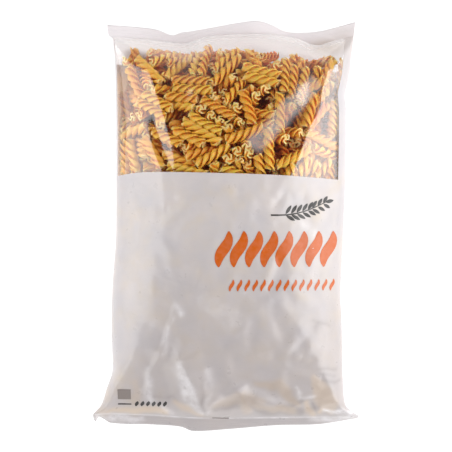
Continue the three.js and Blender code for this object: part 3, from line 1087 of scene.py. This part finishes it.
def lining_layer(back, first):
    """Points and faces of the warm lining on the inside of the back sheet, below the heap: every few points
    of the sheet, moved in along its normal, which is the cross product of the steps across and along the
    sheet."""
    coarse = back[LINING_ROWS, LINING_COLUMNS]
    normal = np.cross(np.gradient(coarse, axis=1), np.gradient(coarse, axis=0))
    points = coarse + LINING_DEPTH * normal / np.linalg.norm(normal, axis=-1, keepdims=True)
    rows, columns = points.shape[:2]
    points = points.reshape(-1, 3)
    faces = grid_faces(rows, columns)
    x, y, _ = points[faces].mean(axis=1).T
    dusty = (y < through(HEAP_TOP, x) + HEADSPACE[0]) & (y > LINING_START - 3 * LINING_FADE)
    return points, faces[dusty] + first


def printed_shares(x, y, is_seal, is_back, is_lining):
    """The printed film's shares for its material, by name: where hidden pasta presses, where the film is
    pale in its seals or painted pale, where painted shade falls, where painted highlights lie along its
    folds, where it is beige, and where the warm lining lies."""
    u, _ = place_on_form(x, y)
    over_heap = y - through(HEAP_TOP, x)
    # Painted light: the back behind the empty top, the front near the top seal and the back at the sides are
    # painted pale; the top seal's two films are really paler
    behind = np.clip((over_heap - HEADSPACE[0]) / (HEADSPACE[1] - HEADSPACE[0]), 0, 1) * is_back
    near_seal_light = NEAR_SEAL_PAINTED_LIGHT * np.exp(-np.abs(top_inner(u) - y) / NEAR_SEAL_WIDTH)
    at_sides = np.clip((np.abs(x) - LINING_SIDE[0]) / (LINING_SIDE[1] - LINING_SIDE[0]), 0, 1)
    above = 1 / (1 + np.exp((LINING_START - y) / LINING_FADE))
    back_side_light = at_sides * above * is_back * BACK_SIDE_PAINTED_LIGHT
    pale = np.maximum(np.maximum(behind, np.where(is_seal, y > 0, near_seal_light)), back_side_light)
    # Painted shade: darker towards the bottom seal, and less past the shoulders
    shade = through(PAINTED_SHADE, y) * ~(is_seal & (y > 0)) * between_shoulders(x, y)
    under_heap = np.clip((HEADSPACE[0] - over_heap) / LINING_TOP_FADE, 0, 1)
    return {
        "press": press_share(x, y, hidden_presses()),
        # Painted light, and the lining painted paler at the packet's sides
        "pale": np.where(is_lining, at_sides * LINING_SIDE_PAINTED_LIGHT, pale),
        # Painted shade, with painted fold shadows on the front film
        "shade": shade + fold_share(x, y, PAINTED_FOLD_SHADOWS) * ~is_back,
        # Painted highlights along the white film's folds, and the light seam
        "fold": painted_fold_highlights(x, y) * ~is_back,
        "beige": np.maximum(beige_share(x, y), fold_share(x, y, WARM_FOLDS) * ~is_back),
        "lining": LINING_SHARE * above * under_heap * is_lining,
    }


def colour_setting(name, description, default):
    """A colour for the panel."""
    return FloatVectorProperty(name=name, description=description, subtype="COLOR", default=default)


def size_setting(name, description, default):
    """A size for the panel, with its default in millimetres."""
    return FloatProperty(name=name, description=description, default=default * MM, unit="LENGTH")


class PacketFilm(bpy.types.PropertyGroup):
    columns: IntProperty(name="Columns", description="Steps across the film", default=184, min=60, max=220)
    white_rows: IntProperty(name="White rows", description="Steps along the white body", default=140)
    window_rows: IntProperty(name="Window rows", description="Steps along the window", default=104)
    seal_rows: IntProperty(name="Seal rows", description="Steps along each seal", default=14)
    gap: size_setting("Seal thickness", "Front to back of a seal", 0.3)
    sag: size_setting("Sag", "How far the white film sinks between spirals", 1.2)
    window_sag: size_setting("Window sag", "How far the window sinks between spirals", 0.22)
    clearance: size_setting("Clearance", "Film to spirals, at least", 0.35)
    crimp_depth: size_setting("Crimp depth", "Height of a seal's ribs", 0.12)
    crimp_pitch: size_setting("Crimp pitch", "Rib to rib on a seal", 2.4)
    white: colour_setting("White", "Printed film", (0.585, 0.535, 0.525))
    cool_white: colour_setting("Cool white", "Film with air behind it", (0.505, 0.48, 0.50))
    warm_white: colour_setting("Warm white", "Film with pasta against it", (0.60, 0.52, 0.44))
    # Painted shade: the colour that the white film turns to where shade is painted
    painted_shade_white: colour_setting("Shaded white", "Film over the densest pasta", (0.30, 0.265, 0.26))
    beige: colour_setting("Beige", "Film in its creased corners", (0.52, 0.41, 0.31))
    # Painted highlight: the colour of the bright streaks along the white film's folds
    painted_highlight_white: colour_setting("Fold white", "Film that stands off the pasta", (0.80, 0.78, 0.80))
    # The warm lining's colour, seen through the gaps between spirals and painted paler at the sides
    lining: colour_setting("Dust", "Pasta dust inside the back film", (0.90, 0.56, 0.18))
    # Two films together in the seals, and the colour of painted light behind the empty top and near the seal
    seal_white_and_painted_light: colour_setting("Seal white", "Two films together", (0.88, 0.85, 0.86))


class PACKET_OT_film(bpy.types.Operator):
    """The printed film with its seals and back, and the clear window"""

    bl_idname = "packet.film"
    bl_label = "Film"

    def execute(self, context):
        sizes = context.scene.packet_film
        front, back, seal = film_sheets()
        rows, columns = seal.shape
        first_column, last_column = film_columns()[1:]
        first_row = sizes.seal_rows + sizes.white_rows
        last_row = first_row + sizes.window_rows
        front_faces = grid_faces(rows, columns).reshape(rows - 1, columns - 1, 4)
        is_window = np.zeros((rows - 1, columns - 1), bool)
        is_window[first_row:last_row, first_column:last_column] = True
        back_faces = grid_faces(rows, columns, rows * columns)[:, ::-1]

        lining, lining_faces = lining_layer(back, 2 * rows * columns)
        points = np.concatenate([front.reshape(-1, 3), back.reshape(-1, 3), lining])
        printed = new_mesh_object("printed_film", points, [front_faces[~is_window], back_faces, lining_faces])
        is_seal = np.concatenate([np.tile((seal > 0).ravel(), 2), np.zeros(len(lining), bool)])
        is_back = np.arange(len(points)) >= seal.size
        is_lining = np.arange(len(points)) >= 2 * seal.size
        for name, values in printed_shares(*points[:, :2].T, is_seal, is_back, is_lining).items():
            add_share(printed, name, values)
        printed.data.materials.append(printed_film_material())

        window = new_mesh_object("window_film", front.reshape(-1, 3), [front_faces[is_window]])
        # Painted reflections in the folded bands and a painted highlight along the top seal
        add_share(window, "fold", painted_reflections(front[..., 0], front[..., 1]))
        window.data.materials.append(window_film_material())
        for piece, slot in ((printed, "white_film"), (window, "clear_film")):
            drop_loose_points(piece)
            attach(piece, BODY)
        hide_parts(NODE)
        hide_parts(NODE)
        return {"FINISHED"}


def uneven(x, y):
    """Places moved a little by waves of several lengths, so that an edge along them doesn't run straight."""
    (long_x, long_x_wave), (short_x, short_x_wave) = UNEVEN_X
    (long_y, long_y_wave), (short_y, short_y_wave) = UNEVEN_Y
    moved_x = x + long_x * np.sin(y / long_x_wave + 0.7) + short_x * np.sin(y / short_x_wave + x / 6.3)
    return moved_x, y + long_y * np.sin(x / long_y_wave) + short_y * np.sin(x / short_y_wave + 1.1)


def fold_share(x, y, folds, softness=FOLD_SOFTNESS):
    """The strength of the strongest fold at a point: level over each fold's width, and smooth down to 0 past
    its edges."""
    share = np.zeros(np.shape(x))
    moved_x, moved_y = uneven(x, y)
    for line, half_widths, strength in folds:
        distance, along = nearest_on_line(moved_x, moved_y, line)
        half = np.interp(along, np.linspace(0, 1, len(half_widths)), half_widths)
        edge = np.clip((np.abs(distance) - half) / softness, -30, 30)
        share = np.maximum(share, strength / (1 + np.exp(edge)))
    return share


def painted_fold_highlights(x, y):
    """Painted highlights: the white folds and a light seam along the bottom seal's inner line."""
    u, _ = place_on_form(x, y)
    seam = SEAM_HIGHLIGHT * np.exp(-((y - bottom_inner(u)) / SEAM_HALF_WIDTH) ** 2)
    return np.maximum(fold_share(x, y, PAINTED_FOLD_HIGHLIGHTS), seam)


def between_shoulders(x, y):
    """How much of the painted shade stays: 1 on the crown, and down to SIDE_SHADE (left, right) past the
    shoulders, blended across them.
    """
    u, _ = place_on_form(x, y)
    shoulder = np.where(u < 0, -through(LEFT_SHOULDER, y), through(RIGHT_SHOULDER, y))
    side_shade = np.where(u < 0, *SIDE_SHADE)
    return lerp(side_shade, 1.0, 1 / (1 + np.exp((np.abs(u) - shoulder) / SHOULDER_BLEND)))


def beige_share(x, y):
    """How beige the film is: soft oval spots, each (x, y, half width, half height, strength)."""
    share = np.zeros(np.shape(x))
    for spot_x, spot_y, width, height, strength in BEIGE_SPOTS:
        away_squared = ((x - spot_x) / width) ** 2 + ((y - spot_y) / height) ** 2
        share = np.maximum(share, strength * np.exp(-away_squared))
    return share


def painted_reflections(x, y):
    """Painted reflection: how milky the clear film is in its folded bands, and a painted highlight along the
    top seal's inner line.
    """
    u, _ = place_on_form(x, y)
    seal_line = SEAL_LINE_HIGHLIGHT * np.exp((y - top_inner(u)) / SEAL_LINE_WIDTH)
    return np.maximum(fold_share(x, y, PAINTED_REFLECTION_BANDS, BAND_SOFTNESS), seal_line)


def surface_height(x, y):
    """Height of the packet's front anywhere, on its body or on its bottom seal."""
    u, _ = place_on_form(x, y)
    low, cut = bottom_inner(u), through(BOTTOM_CUT, u)
    seal = np.clip((low - y) / (low - cut), 0, 1)
    half_gap = bpy.context.scene.packet_film.gap / MM / 2 * np.sqrt(1 - u**2)
    return np.where(seal > 0, seal_heights(u, y, seal), film_height(x, y)) + half_gap


def leaf(start, end, width, bow=0.0, fullness_power=0.7, steps=14):
    """A leaf-shaped patch of print, as its middle line of complex numbers x + iy with a half width at each
    point: the line bows in an S to its left and right, and the width follows a sine to a power."""
    share = np.linspace(0, 1, steps)
    line = lerp(start, end, share) + 1j * (end - start) * bow * np.sin(2 * np.pi * share)
    return line, width / 2 * np.maximum(np.sin(np.pi * share), 0.02) ** fullness_power


def sprig():
    """A sprig of wheat: a bowed stem with grains in pairs along its far part."""
    share = np.linspace(0, 1, STEM_STEPS)
    stem = lerp(SPRIG_START, SPRIG_END, share) - 1j * SPRIG_BOW * np.sin(np.pi * share)
    leaves = [(stem, lerp(*STEM_HALF_WIDTH, share))]
    ahead = (SPRIG_END - SPRIG_START) / abs(SPRIG_END - SPRIG_START)
    for place in np.linspace(*GRAIN_PLACES, GRAIN_PAIRS):
        foot = stem[round(place * (STEM_STEPS - 1))]
        for turn in (GRAIN_TURN, -GRAIN_TURN):
            way = ahead * np.exp(1j * turn)
            tip = foot + lerp(*GRAIN_LENGTH, place) * way
            leaves.append(leaf(foot + GRAIN_START * way, tip, GRAIN_WIDTH))
    leaves.append(leaf(SPRIG_END, SPRIG_END + LAST_GRAIN[0] * ahead, LAST_GRAIN[1]))
    return leaves


def slanted_row(left, right, low, high, count, width):
    """A row of slanted lobes, like the turns of a spiral."""
    place = lerp(left + width / 2, right - width / 2, np.linspace(0, 1, count))
    slant = LOBE_SLANT * (high - low)
    return [leaf(x - slant / 2 + 1j * low, x + slant / 2 + 1j * high, width, 0.06, 0.55) for x in place]


def strip(start, end, half_width):
    """A straight patch of print of one width, as its middle line and its half widths."""
    share = np.linspace(0, 1, 9)
    return lerp(start, end, share), half_width + 0 * share


def patches_mesh(name, patches, thin_patches, across_steps=5):
    """A thin mesh of print patches on the packet's front, raised over the film by PRINT_LIFT. The ink of thin
    patches is thinner."""
    points, faces, tint, first = [], [], [], 0
    for line, half_width in [*patches, *thin_patches]:
        ahead = np.gradient(line)
        left_side = 1j * ahead / np.abs(ahead)
        place = line[:, None] + (left_side * half_width)[:, None] * np.linspace(1, -1, across_steps)
        points.append(np.column_stack([place.real.ravel(), place.imag.ravel()]))
        faces.append(grid_faces(len(line), across_steps, first))
        first += place.size
        tint.append(np.full(place.size, float(len(faces) > len(patches))))
    x, y = np.concatenate(points).T
    piece = new_mesh_object(name, np.column_stack([x, y, surface_height(x, y) + PRINT_LIFT]), faces)
    add_share(piece, "tint", np.concatenate(tint))
    return piece


class PacketPrint(bpy.types.PropertyGroup):
    orange: colour_setting("Orange", "Orange ink", (0.51, 0.095, 0.005))
    charcoal: colour_setting("Charcoal", "Dark ink", (0.018, 0.015, 0.014))


class PACKET_OT_print(bpy.types.Operator):
    """The print: two rows of orange slanted lobes, a dark sprig and small dark marks"""

    bl_idname = "packet.print"
    bl_label = "Print"

    def execute(self, context):
        inks = context.scene.packet_print
        orange = slanted_row(*BIG_LOBES) + slanted_row(*SMALL_LOBES)
        dark = sprig() + [strip(*BAR)] + slanted_row(*DOTS)
        thin = [strip(*SQUARE), strip(*SEAL_MARK)]
        for name, slot, colour, patches, thin_patches in (
            ("orange_print", "orange_ink", inks.orange, orange, []),
            ("dark_print", "dark_ink", inks.charcoal, dark, thin),
        ):
            piece = patches_mesh(name, patches, thin_patches)
            piece.data.materials.append(ink_material(slot, colour))
            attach(piece, BODY)
        return {"FINISHED"}


def drop_loose_points(piece):
    """Merges points that lie together, along the side and cut edges, and drops those that no face uses."""
    work = bmesh.new()
    work.from_mesh(piece.data)
    bmesh.ops.delete(work, geom=[v for v in work.verts if not v.link_faces], context="VERTS")
    bmesh.ops.remove_doubles(work, verts=work.verts, dist=MERGE_DISTANCE)
    work.to_mesh(piece.data)
    work.free()


# The spirals


def spiral_section(steps, tip_steps):
    """Outline of a spiral's cross-section at radius 1, anticlockwise: three arms 120 degrees apart, each
    along a curled centreline with a thickness and a round tip. The line's direction is taken on FINE times as
    many points. Arms come one after the other, each with its near side from the root out, its tip, and its
    far side back in."""
    share = np.linspace(0, 1, (steps - 1) * FINE + 1)
    reach = lerp(ARM_ROOT, 1 - ARM_THICKNESS / 2, lerp(share**0.8, np.sin(np.pi / 2 * share), 0.5))
    angle = -ARM_CURL * share**1.25
    line = reach * np.exp(1j * angle)
    forward = np.gradient(line)
    forward /= np.abs(forward)
    line, forward, share = line[::FINE], forward[::FINE], share[::FINE]
    half = ARM_THICKNESS / 2 * lerp(1.0, 0.9, share)
    near = line - 1j * forward * half
    far = line + 1j * forward * half
    sweep = np.linspace(-np.pi / 2, np.pi / 2, tip_steps + 2)[1:-1]
    tip = line[-1] + half[-1] * forward[-1] * np.exp(1j * sweep)
    arm = np.concatenate([near, tip, far[::-1]])
    outline = np.concatenate([arm * np.exp(2j * np.pi * k / 3) for k in range(3)])
    return np.column_stack([outline.real, outline.imag])


def cap_faces(steps, tip_steps):
    """Faces that close an end: strips across each arm, one round tip each, and the middle."""
    arm = 2 * steps + tip_steps
    strips, tips, middle = [], [], []
    for k in range(3):
        near = k * arm + np.arange(steps)
        far = k * arm + arm - 1 - np.arange(steps)
        strips.append(np.stack([near[:-1], near[1:], far[1:], far[:-1]], axis=-1))
        tips.append(np.arange(near[-1], far[-1] + 1)[None, :])
        middle += [near[0], far[0]]
    return [np.concatenate(strips), np.concatenate(tips), np.array([middle])]


def spiral_batch(spirals, chosen, steps, tip_steps, stations):
    """Points, faces, rim shares and tones of the chosen spirals: their section carried along a slightly bent
    axis while it turns once each pitch. Towards each end it widens or narrows by that end's flare and leans
    by its slant, as the distance from the middle to the power END_POWER."""
    section = spiral_section(steps, tip_steps)
    around = len(section)
    radius, length = spirals["radius"][chosen], spirals["length"][chosen]
    pitch, roll, bend = (spirals[key][chosen] for key in ("pitch", "roll", "bend"))
    axis = spirals["half_axis"][chosen]
    axis = axis / np.linalg.norm(axis, axis=1)[:, None]
    helper = np.where(np.abs(axis[:, 2:]) < 0.9, [[0.0, 0.0, 1.0]], [[1.0, 0.0, 0.0]])
    side = np.cross(helper, axis)
    side /= np.linalg.norm(side, axis=1)[:, None]
    up = np.cross(axis, side)

    along = np.linspace(-0.5, 0.5, stations)
    place = length[:, None] * along
    twist = roll[:, None] - 2 * np.pi * place / pitch[:, None]
    end_share = np.abs(2 * along) ** END_POWER
    at_end = np.where(along < 0, spirals["flare"][chosen, :1], spirals["flare"][chosen, 1:]) * end_share
    spread = radius[:, None] * (1 + at_end)
    cos, sin = np.cos(twist)[..., None], np.sin(twist)[..., None]
    across_side = spread[..., None] * (section[:, 0] * cos - section[:, 1] * sin)
    across_up = spread[..., None] * (section[:, 0] * sin + section[:, 1] * cos)
    across_side = across_side + (bend[:, None] * (4 * along**2 - 1 / 3))[..., None]
    slant = np.where(along[:, None] < 0, *spirals["slant"][chosen].transpose(1, 0, 2)[:, :, None, :])
    slide = (slant[..., :1] * across_side + slant[..., 1:] * across_up) * end_share[:, None]
    points = (
        spirals["centre"][chosen][:, None, None, :]
        + across_side[..., None] * side[:, None, None, :]
        + across_up[..., None] * up[:, None, None, :]
        + (place[:, :, None] + slide)[..., None] * axis[:, None, None, :]
    )
    ring = np.arange(stations * around).reshape(stations, around)
    turned = np.roll(ring, -1, axis=1)
    walls = np.stack([ring[:-1], turned[:-1], turned[1:], ring[1:]], axis=-1).reshape(-1, 4)
    last = (stations - 1) * around
    start = (np.arange(len(chosen)) * stations * around)[:, None, None]
    faces = [(walls + start).reshape(-1, 4)]
    for cap in cap_faces(steps, tip_steps):
        for closed in (cap[:, ::-1], cap + last):
            faces.append((closed + start).reshape(-1, cap.shape[1]))
    at_end = np.isin(np.arange(stations), (0, stations - 1))[:, None]
    rim = np.broadcast_to(np.where(at_end, 1.0, END_START * np.hypot(*section.T)), points.shape[:3])
    tone = np.broadcast_to(spirals["tone"][chosen][:, None, None], points.shape[:3])
    return points.reshape(-1, 3), faces, rim.ravel(), tone.ravel()


class PacketPasta(bpy.types.PropertyGroup):
    count: IntProperty(name="Spirals", description="How many are thrown in", default=336, min=1)
    seed: IntProperty(name="Seed", description="Which throw of the spirals", default=4)
    steps: IntProperty(name="Settling steps", description="Rounds of pushing apart", default=260)
    diameter: size_setting("Diameter", "Of a spiral", 7.9)
    length: size_setting("Length", "Of a middling spiral", 25.5)
    pitch: size_setting("Pitch", "One full turn", 17)
    contact: FloatProperty(name="Contact", description="Share of its radius that pushes others", default=0.87)
    near_depth: size_setting("Near depth", "Spirals nearer to the film get the finer mesh", 5)
    amber: colour_setting("Amber", "Darker spirals", (0.90, 0.40, 0.008))
    gold: colour_setting("Gold", "Lighter spirals", (0.95, 0.57, 0.035))
    # Painted shade: the red of the arms' roots and of the deep heap
    painted_shade_russet: colour_setting("Russet", "Deep in the heap", (0.93, 0.20, 0.001))
    pale: colour_setting("Pale", "Thin edges and flour", (0.98, 0.74, 0.30))


class PACKET_OT_pasta(bpy.types.Operator):
    """The dry spirals under the window"""

    bl_idname = "packet.pasta"
    bl_label = "Pasta"

    def execute(self, context):
        sizes = context.scene.packet_pasta
        spirals = settled_spirals()
        is_near = spirals["gap"] < sizes.near_depth / MM
        near = spiral_batch(spirals, np.flatnonzero(is_near), *NEAR_MESH)
        deep = spiral_batch(spirals, np.flatnonzero(~is_near), *DEEP_MESH)
        points, rim, tone = (np.concatenate([near[part], deep[part]]) for part in (0, 2, 3))
        faces = near[1] + [f + len(near[0]) for f in deep[1]]
        pasta = new_mesh_object("pasta", points, faces)
        x, y, z = points.T
        u, _ = place_on_form(x, y)
        inner = np.clip((1 - np.abs(u)) / DEEP_SIDE, 0, 1)
        depth = roof_height(x, y) - z
        add_share(pasta, "rim", rim)
        add_share(pasta, "tone", tone)
        # Painted shade: redder deeper below the film, less at the packet's sides
        add_share(pasta, "deep", inner * np.clip((depth - DEEP_START) / DEEP_SPAN, 0, DEEP_MOST))
        pasta.data.materials.append(pasta_material())
        pasta.data.set_sharp_from_angle(angle=SHARP_ANGLE)
        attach(pasta, BODY)
        return {"FINISHED"}


# The stage


class PacketStage(bpy.types.PropertyGroup):
    frame_width: size_setting("Frame width", "What the photograph spans", 316.4)
    frame_height: size_setting("Frame height", "Height at which it spans that", 25)
    camera_distance: size_setting("Camera distance", "Above that height", 1200)
    left_power: FloatProperty(name="Left panel", description="Its power in watts", default=39.0)
    right_power: FloatProperty(name="Right panel", description="Its power in watts", default=54.0)
    top_power: FloatProperty(name="Top panel", description="Its power in watts", default=0.8)
    fill: FloatProperty(name="Fill", description="Brightness of the air around", default=0.012)
    floor: colour_setting("Floor", "Pale floor", (0.3, 0.3, 0.3))
    floor_glow: FloatProperty(name="Floor glow", description="Light the floor gives off itself", default=0.85)


def add_panel_light(name, place, target, size, power):
    """A soft rectangular light at place, facing the target, with the first of its two sizes level."""
    light = bpy.data.lights.new(name, "AREA")
    light.shape = "RECTANGLE"
    light.size, light.size_y = size
    light.energy = power
    panel = bpy.data.objects.new(name, light)
    bpy.context.scene.collection.objects.link(panel)
    panel.location = place
    away = Vector(target) - Vector(place)
    panel.rotation_euler = away.to_track_quat("-Z", "Y").to_euler()


class PACKET_OT_stage(bpy.types.Operator):
    """A pale floor, soft side panels and the camera above the packet"""

    bl_idname = "packet.stage"
    bl_label = "Stage"

    def execute(self, context):
        stage = context.scene.packet_stage
        scene = context.scene
        corners = FLOOR_REACH * np.array([[-1, -1, 0], [1, -1, 0], [-1, 1, 0], [1, 1, 0]])
        floor = new_mesh_object("floor", corners - form_place(), [np.array([[0, 1, 3, 2]])])
        material, _, shader = new_material("floor")
        shader.inputs["Base Color"].default_value = rgba(stage.floor)
        shader.inputs["Roughness"].default_value = 0.8
        shader.inputs["Specular IOR Level"].default_value = 0.0
        shader.inputs["Emission Color"].default_value = rgba(WHITE)
        shader.inputs["Emission Strength"].default_value = stage.floor_glow
        floor.data.materials.append(material)

        for name, side, power in (
            ("left_panel", -1, stage.left_power),
            ("right_panel", 1, stage.right_power),
        ):
            place = (side * SIDE_PANEL_PLACE[0], *SIDE_PANEL_PLACE[1:])
            add_panel_light(name, place, SIDE_PANEL_TARGET, SIDE_PANEL_SIZE, power)
        add_panel_light("top_panel", TOP_PANEL_PLACE, TOP_PANEL_TARGET, TOP_PANEL_SIZE, stage.top_power)
        world = bpy.data.worlds.new("air")
        world.use_nodes = True
        background = world.node_tree.nodes["Background"]
        background.inputs["Color"].default_value = rgba(WHITE)
        background.inputs["Strength"].default_value = stage.fill
        scene.world = world

        lens = bpy.data.cameras.new("camera")
        lens.sensor_width = SENSOR_WIDTH
        lens.lens = lens.sensor_width * stage.camera_distance / stage.frame_width
        camera = bpy.data.objects.new("camera", lens)
        scene.collection.objects.link(camera)
        above = stage.frame_height + stage.camera_distance
        camera.location = (CAMERA_PLACE[0] * MM, CAMERA_PLACE[1] * MM, above)
        scene.camera = camera
        scene.view_settings.view_transform = "Standard"
        return {"FINISHED"}


class PACKET_PT_panel(bpy.types.Panel):
    bl_label = "Pasta packet"
    bl_idname = "PACKET_PT_panel"
    bl_space_type = "VIEW_3D"
    bl_region_type = "UI"
    bl_category = "Packet"

    def draw(self, context):
        for title, group, operator in STEPS:
            box = self.layout.box()
            settings = getattr(context.scene, group)
            for name in settings.bl_rna.properties.keys():
                if name not in ("rna_type", "name"):
                    box.prop(settings, name)
            box.operator(operator, text=title)


STEPS = (
    ("Pasta", "packet_pasta", "packet.pasta"),
    ("Film", "packet_film", "packet.film"),
    ("Print", "packet_print", "packet.print"),
    ("Stage", "packet_stage", "packet.stage"),
)
GROUPS = {
    "packet_pasta": PacketPasta,
    "packet_film": PacketFilm,
    "packet_print": PacketPrint,
    "packet_stage": PacketStage,
}
OPERATORS = (PACKET_OT_pasta, PACKET_OT_film, PACKET_OT_print, PACKET_OT_stage)
CLASSES = (*GROUPS.values(), *OPERATORS, PACKET_PT_panel)


def register():
    """Makes the classes and their settings known to Blender."""
    for cls in CLASSES:
        bpy.utils.register_class(cls)
    for name, group in GROUPS.items():
        setattr(bpy.types.Scene, name, PointerProperty(type=group))


def unregister():
    """Takes back what register does."""
    for name in GROUPS:
        delattr(bpy.types.Scene, name)
    for cls in reversed(CLASSES):
        bpy.utils.unregister_class(cls)


def main():
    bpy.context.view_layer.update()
    register()
    bpy.ops.packet.pasta()
    bpy.ops.packet.film()
    bpy.ops.packet.print()
    bpy.ops.packet.stage()


if __name__ == "__main__":
    main()
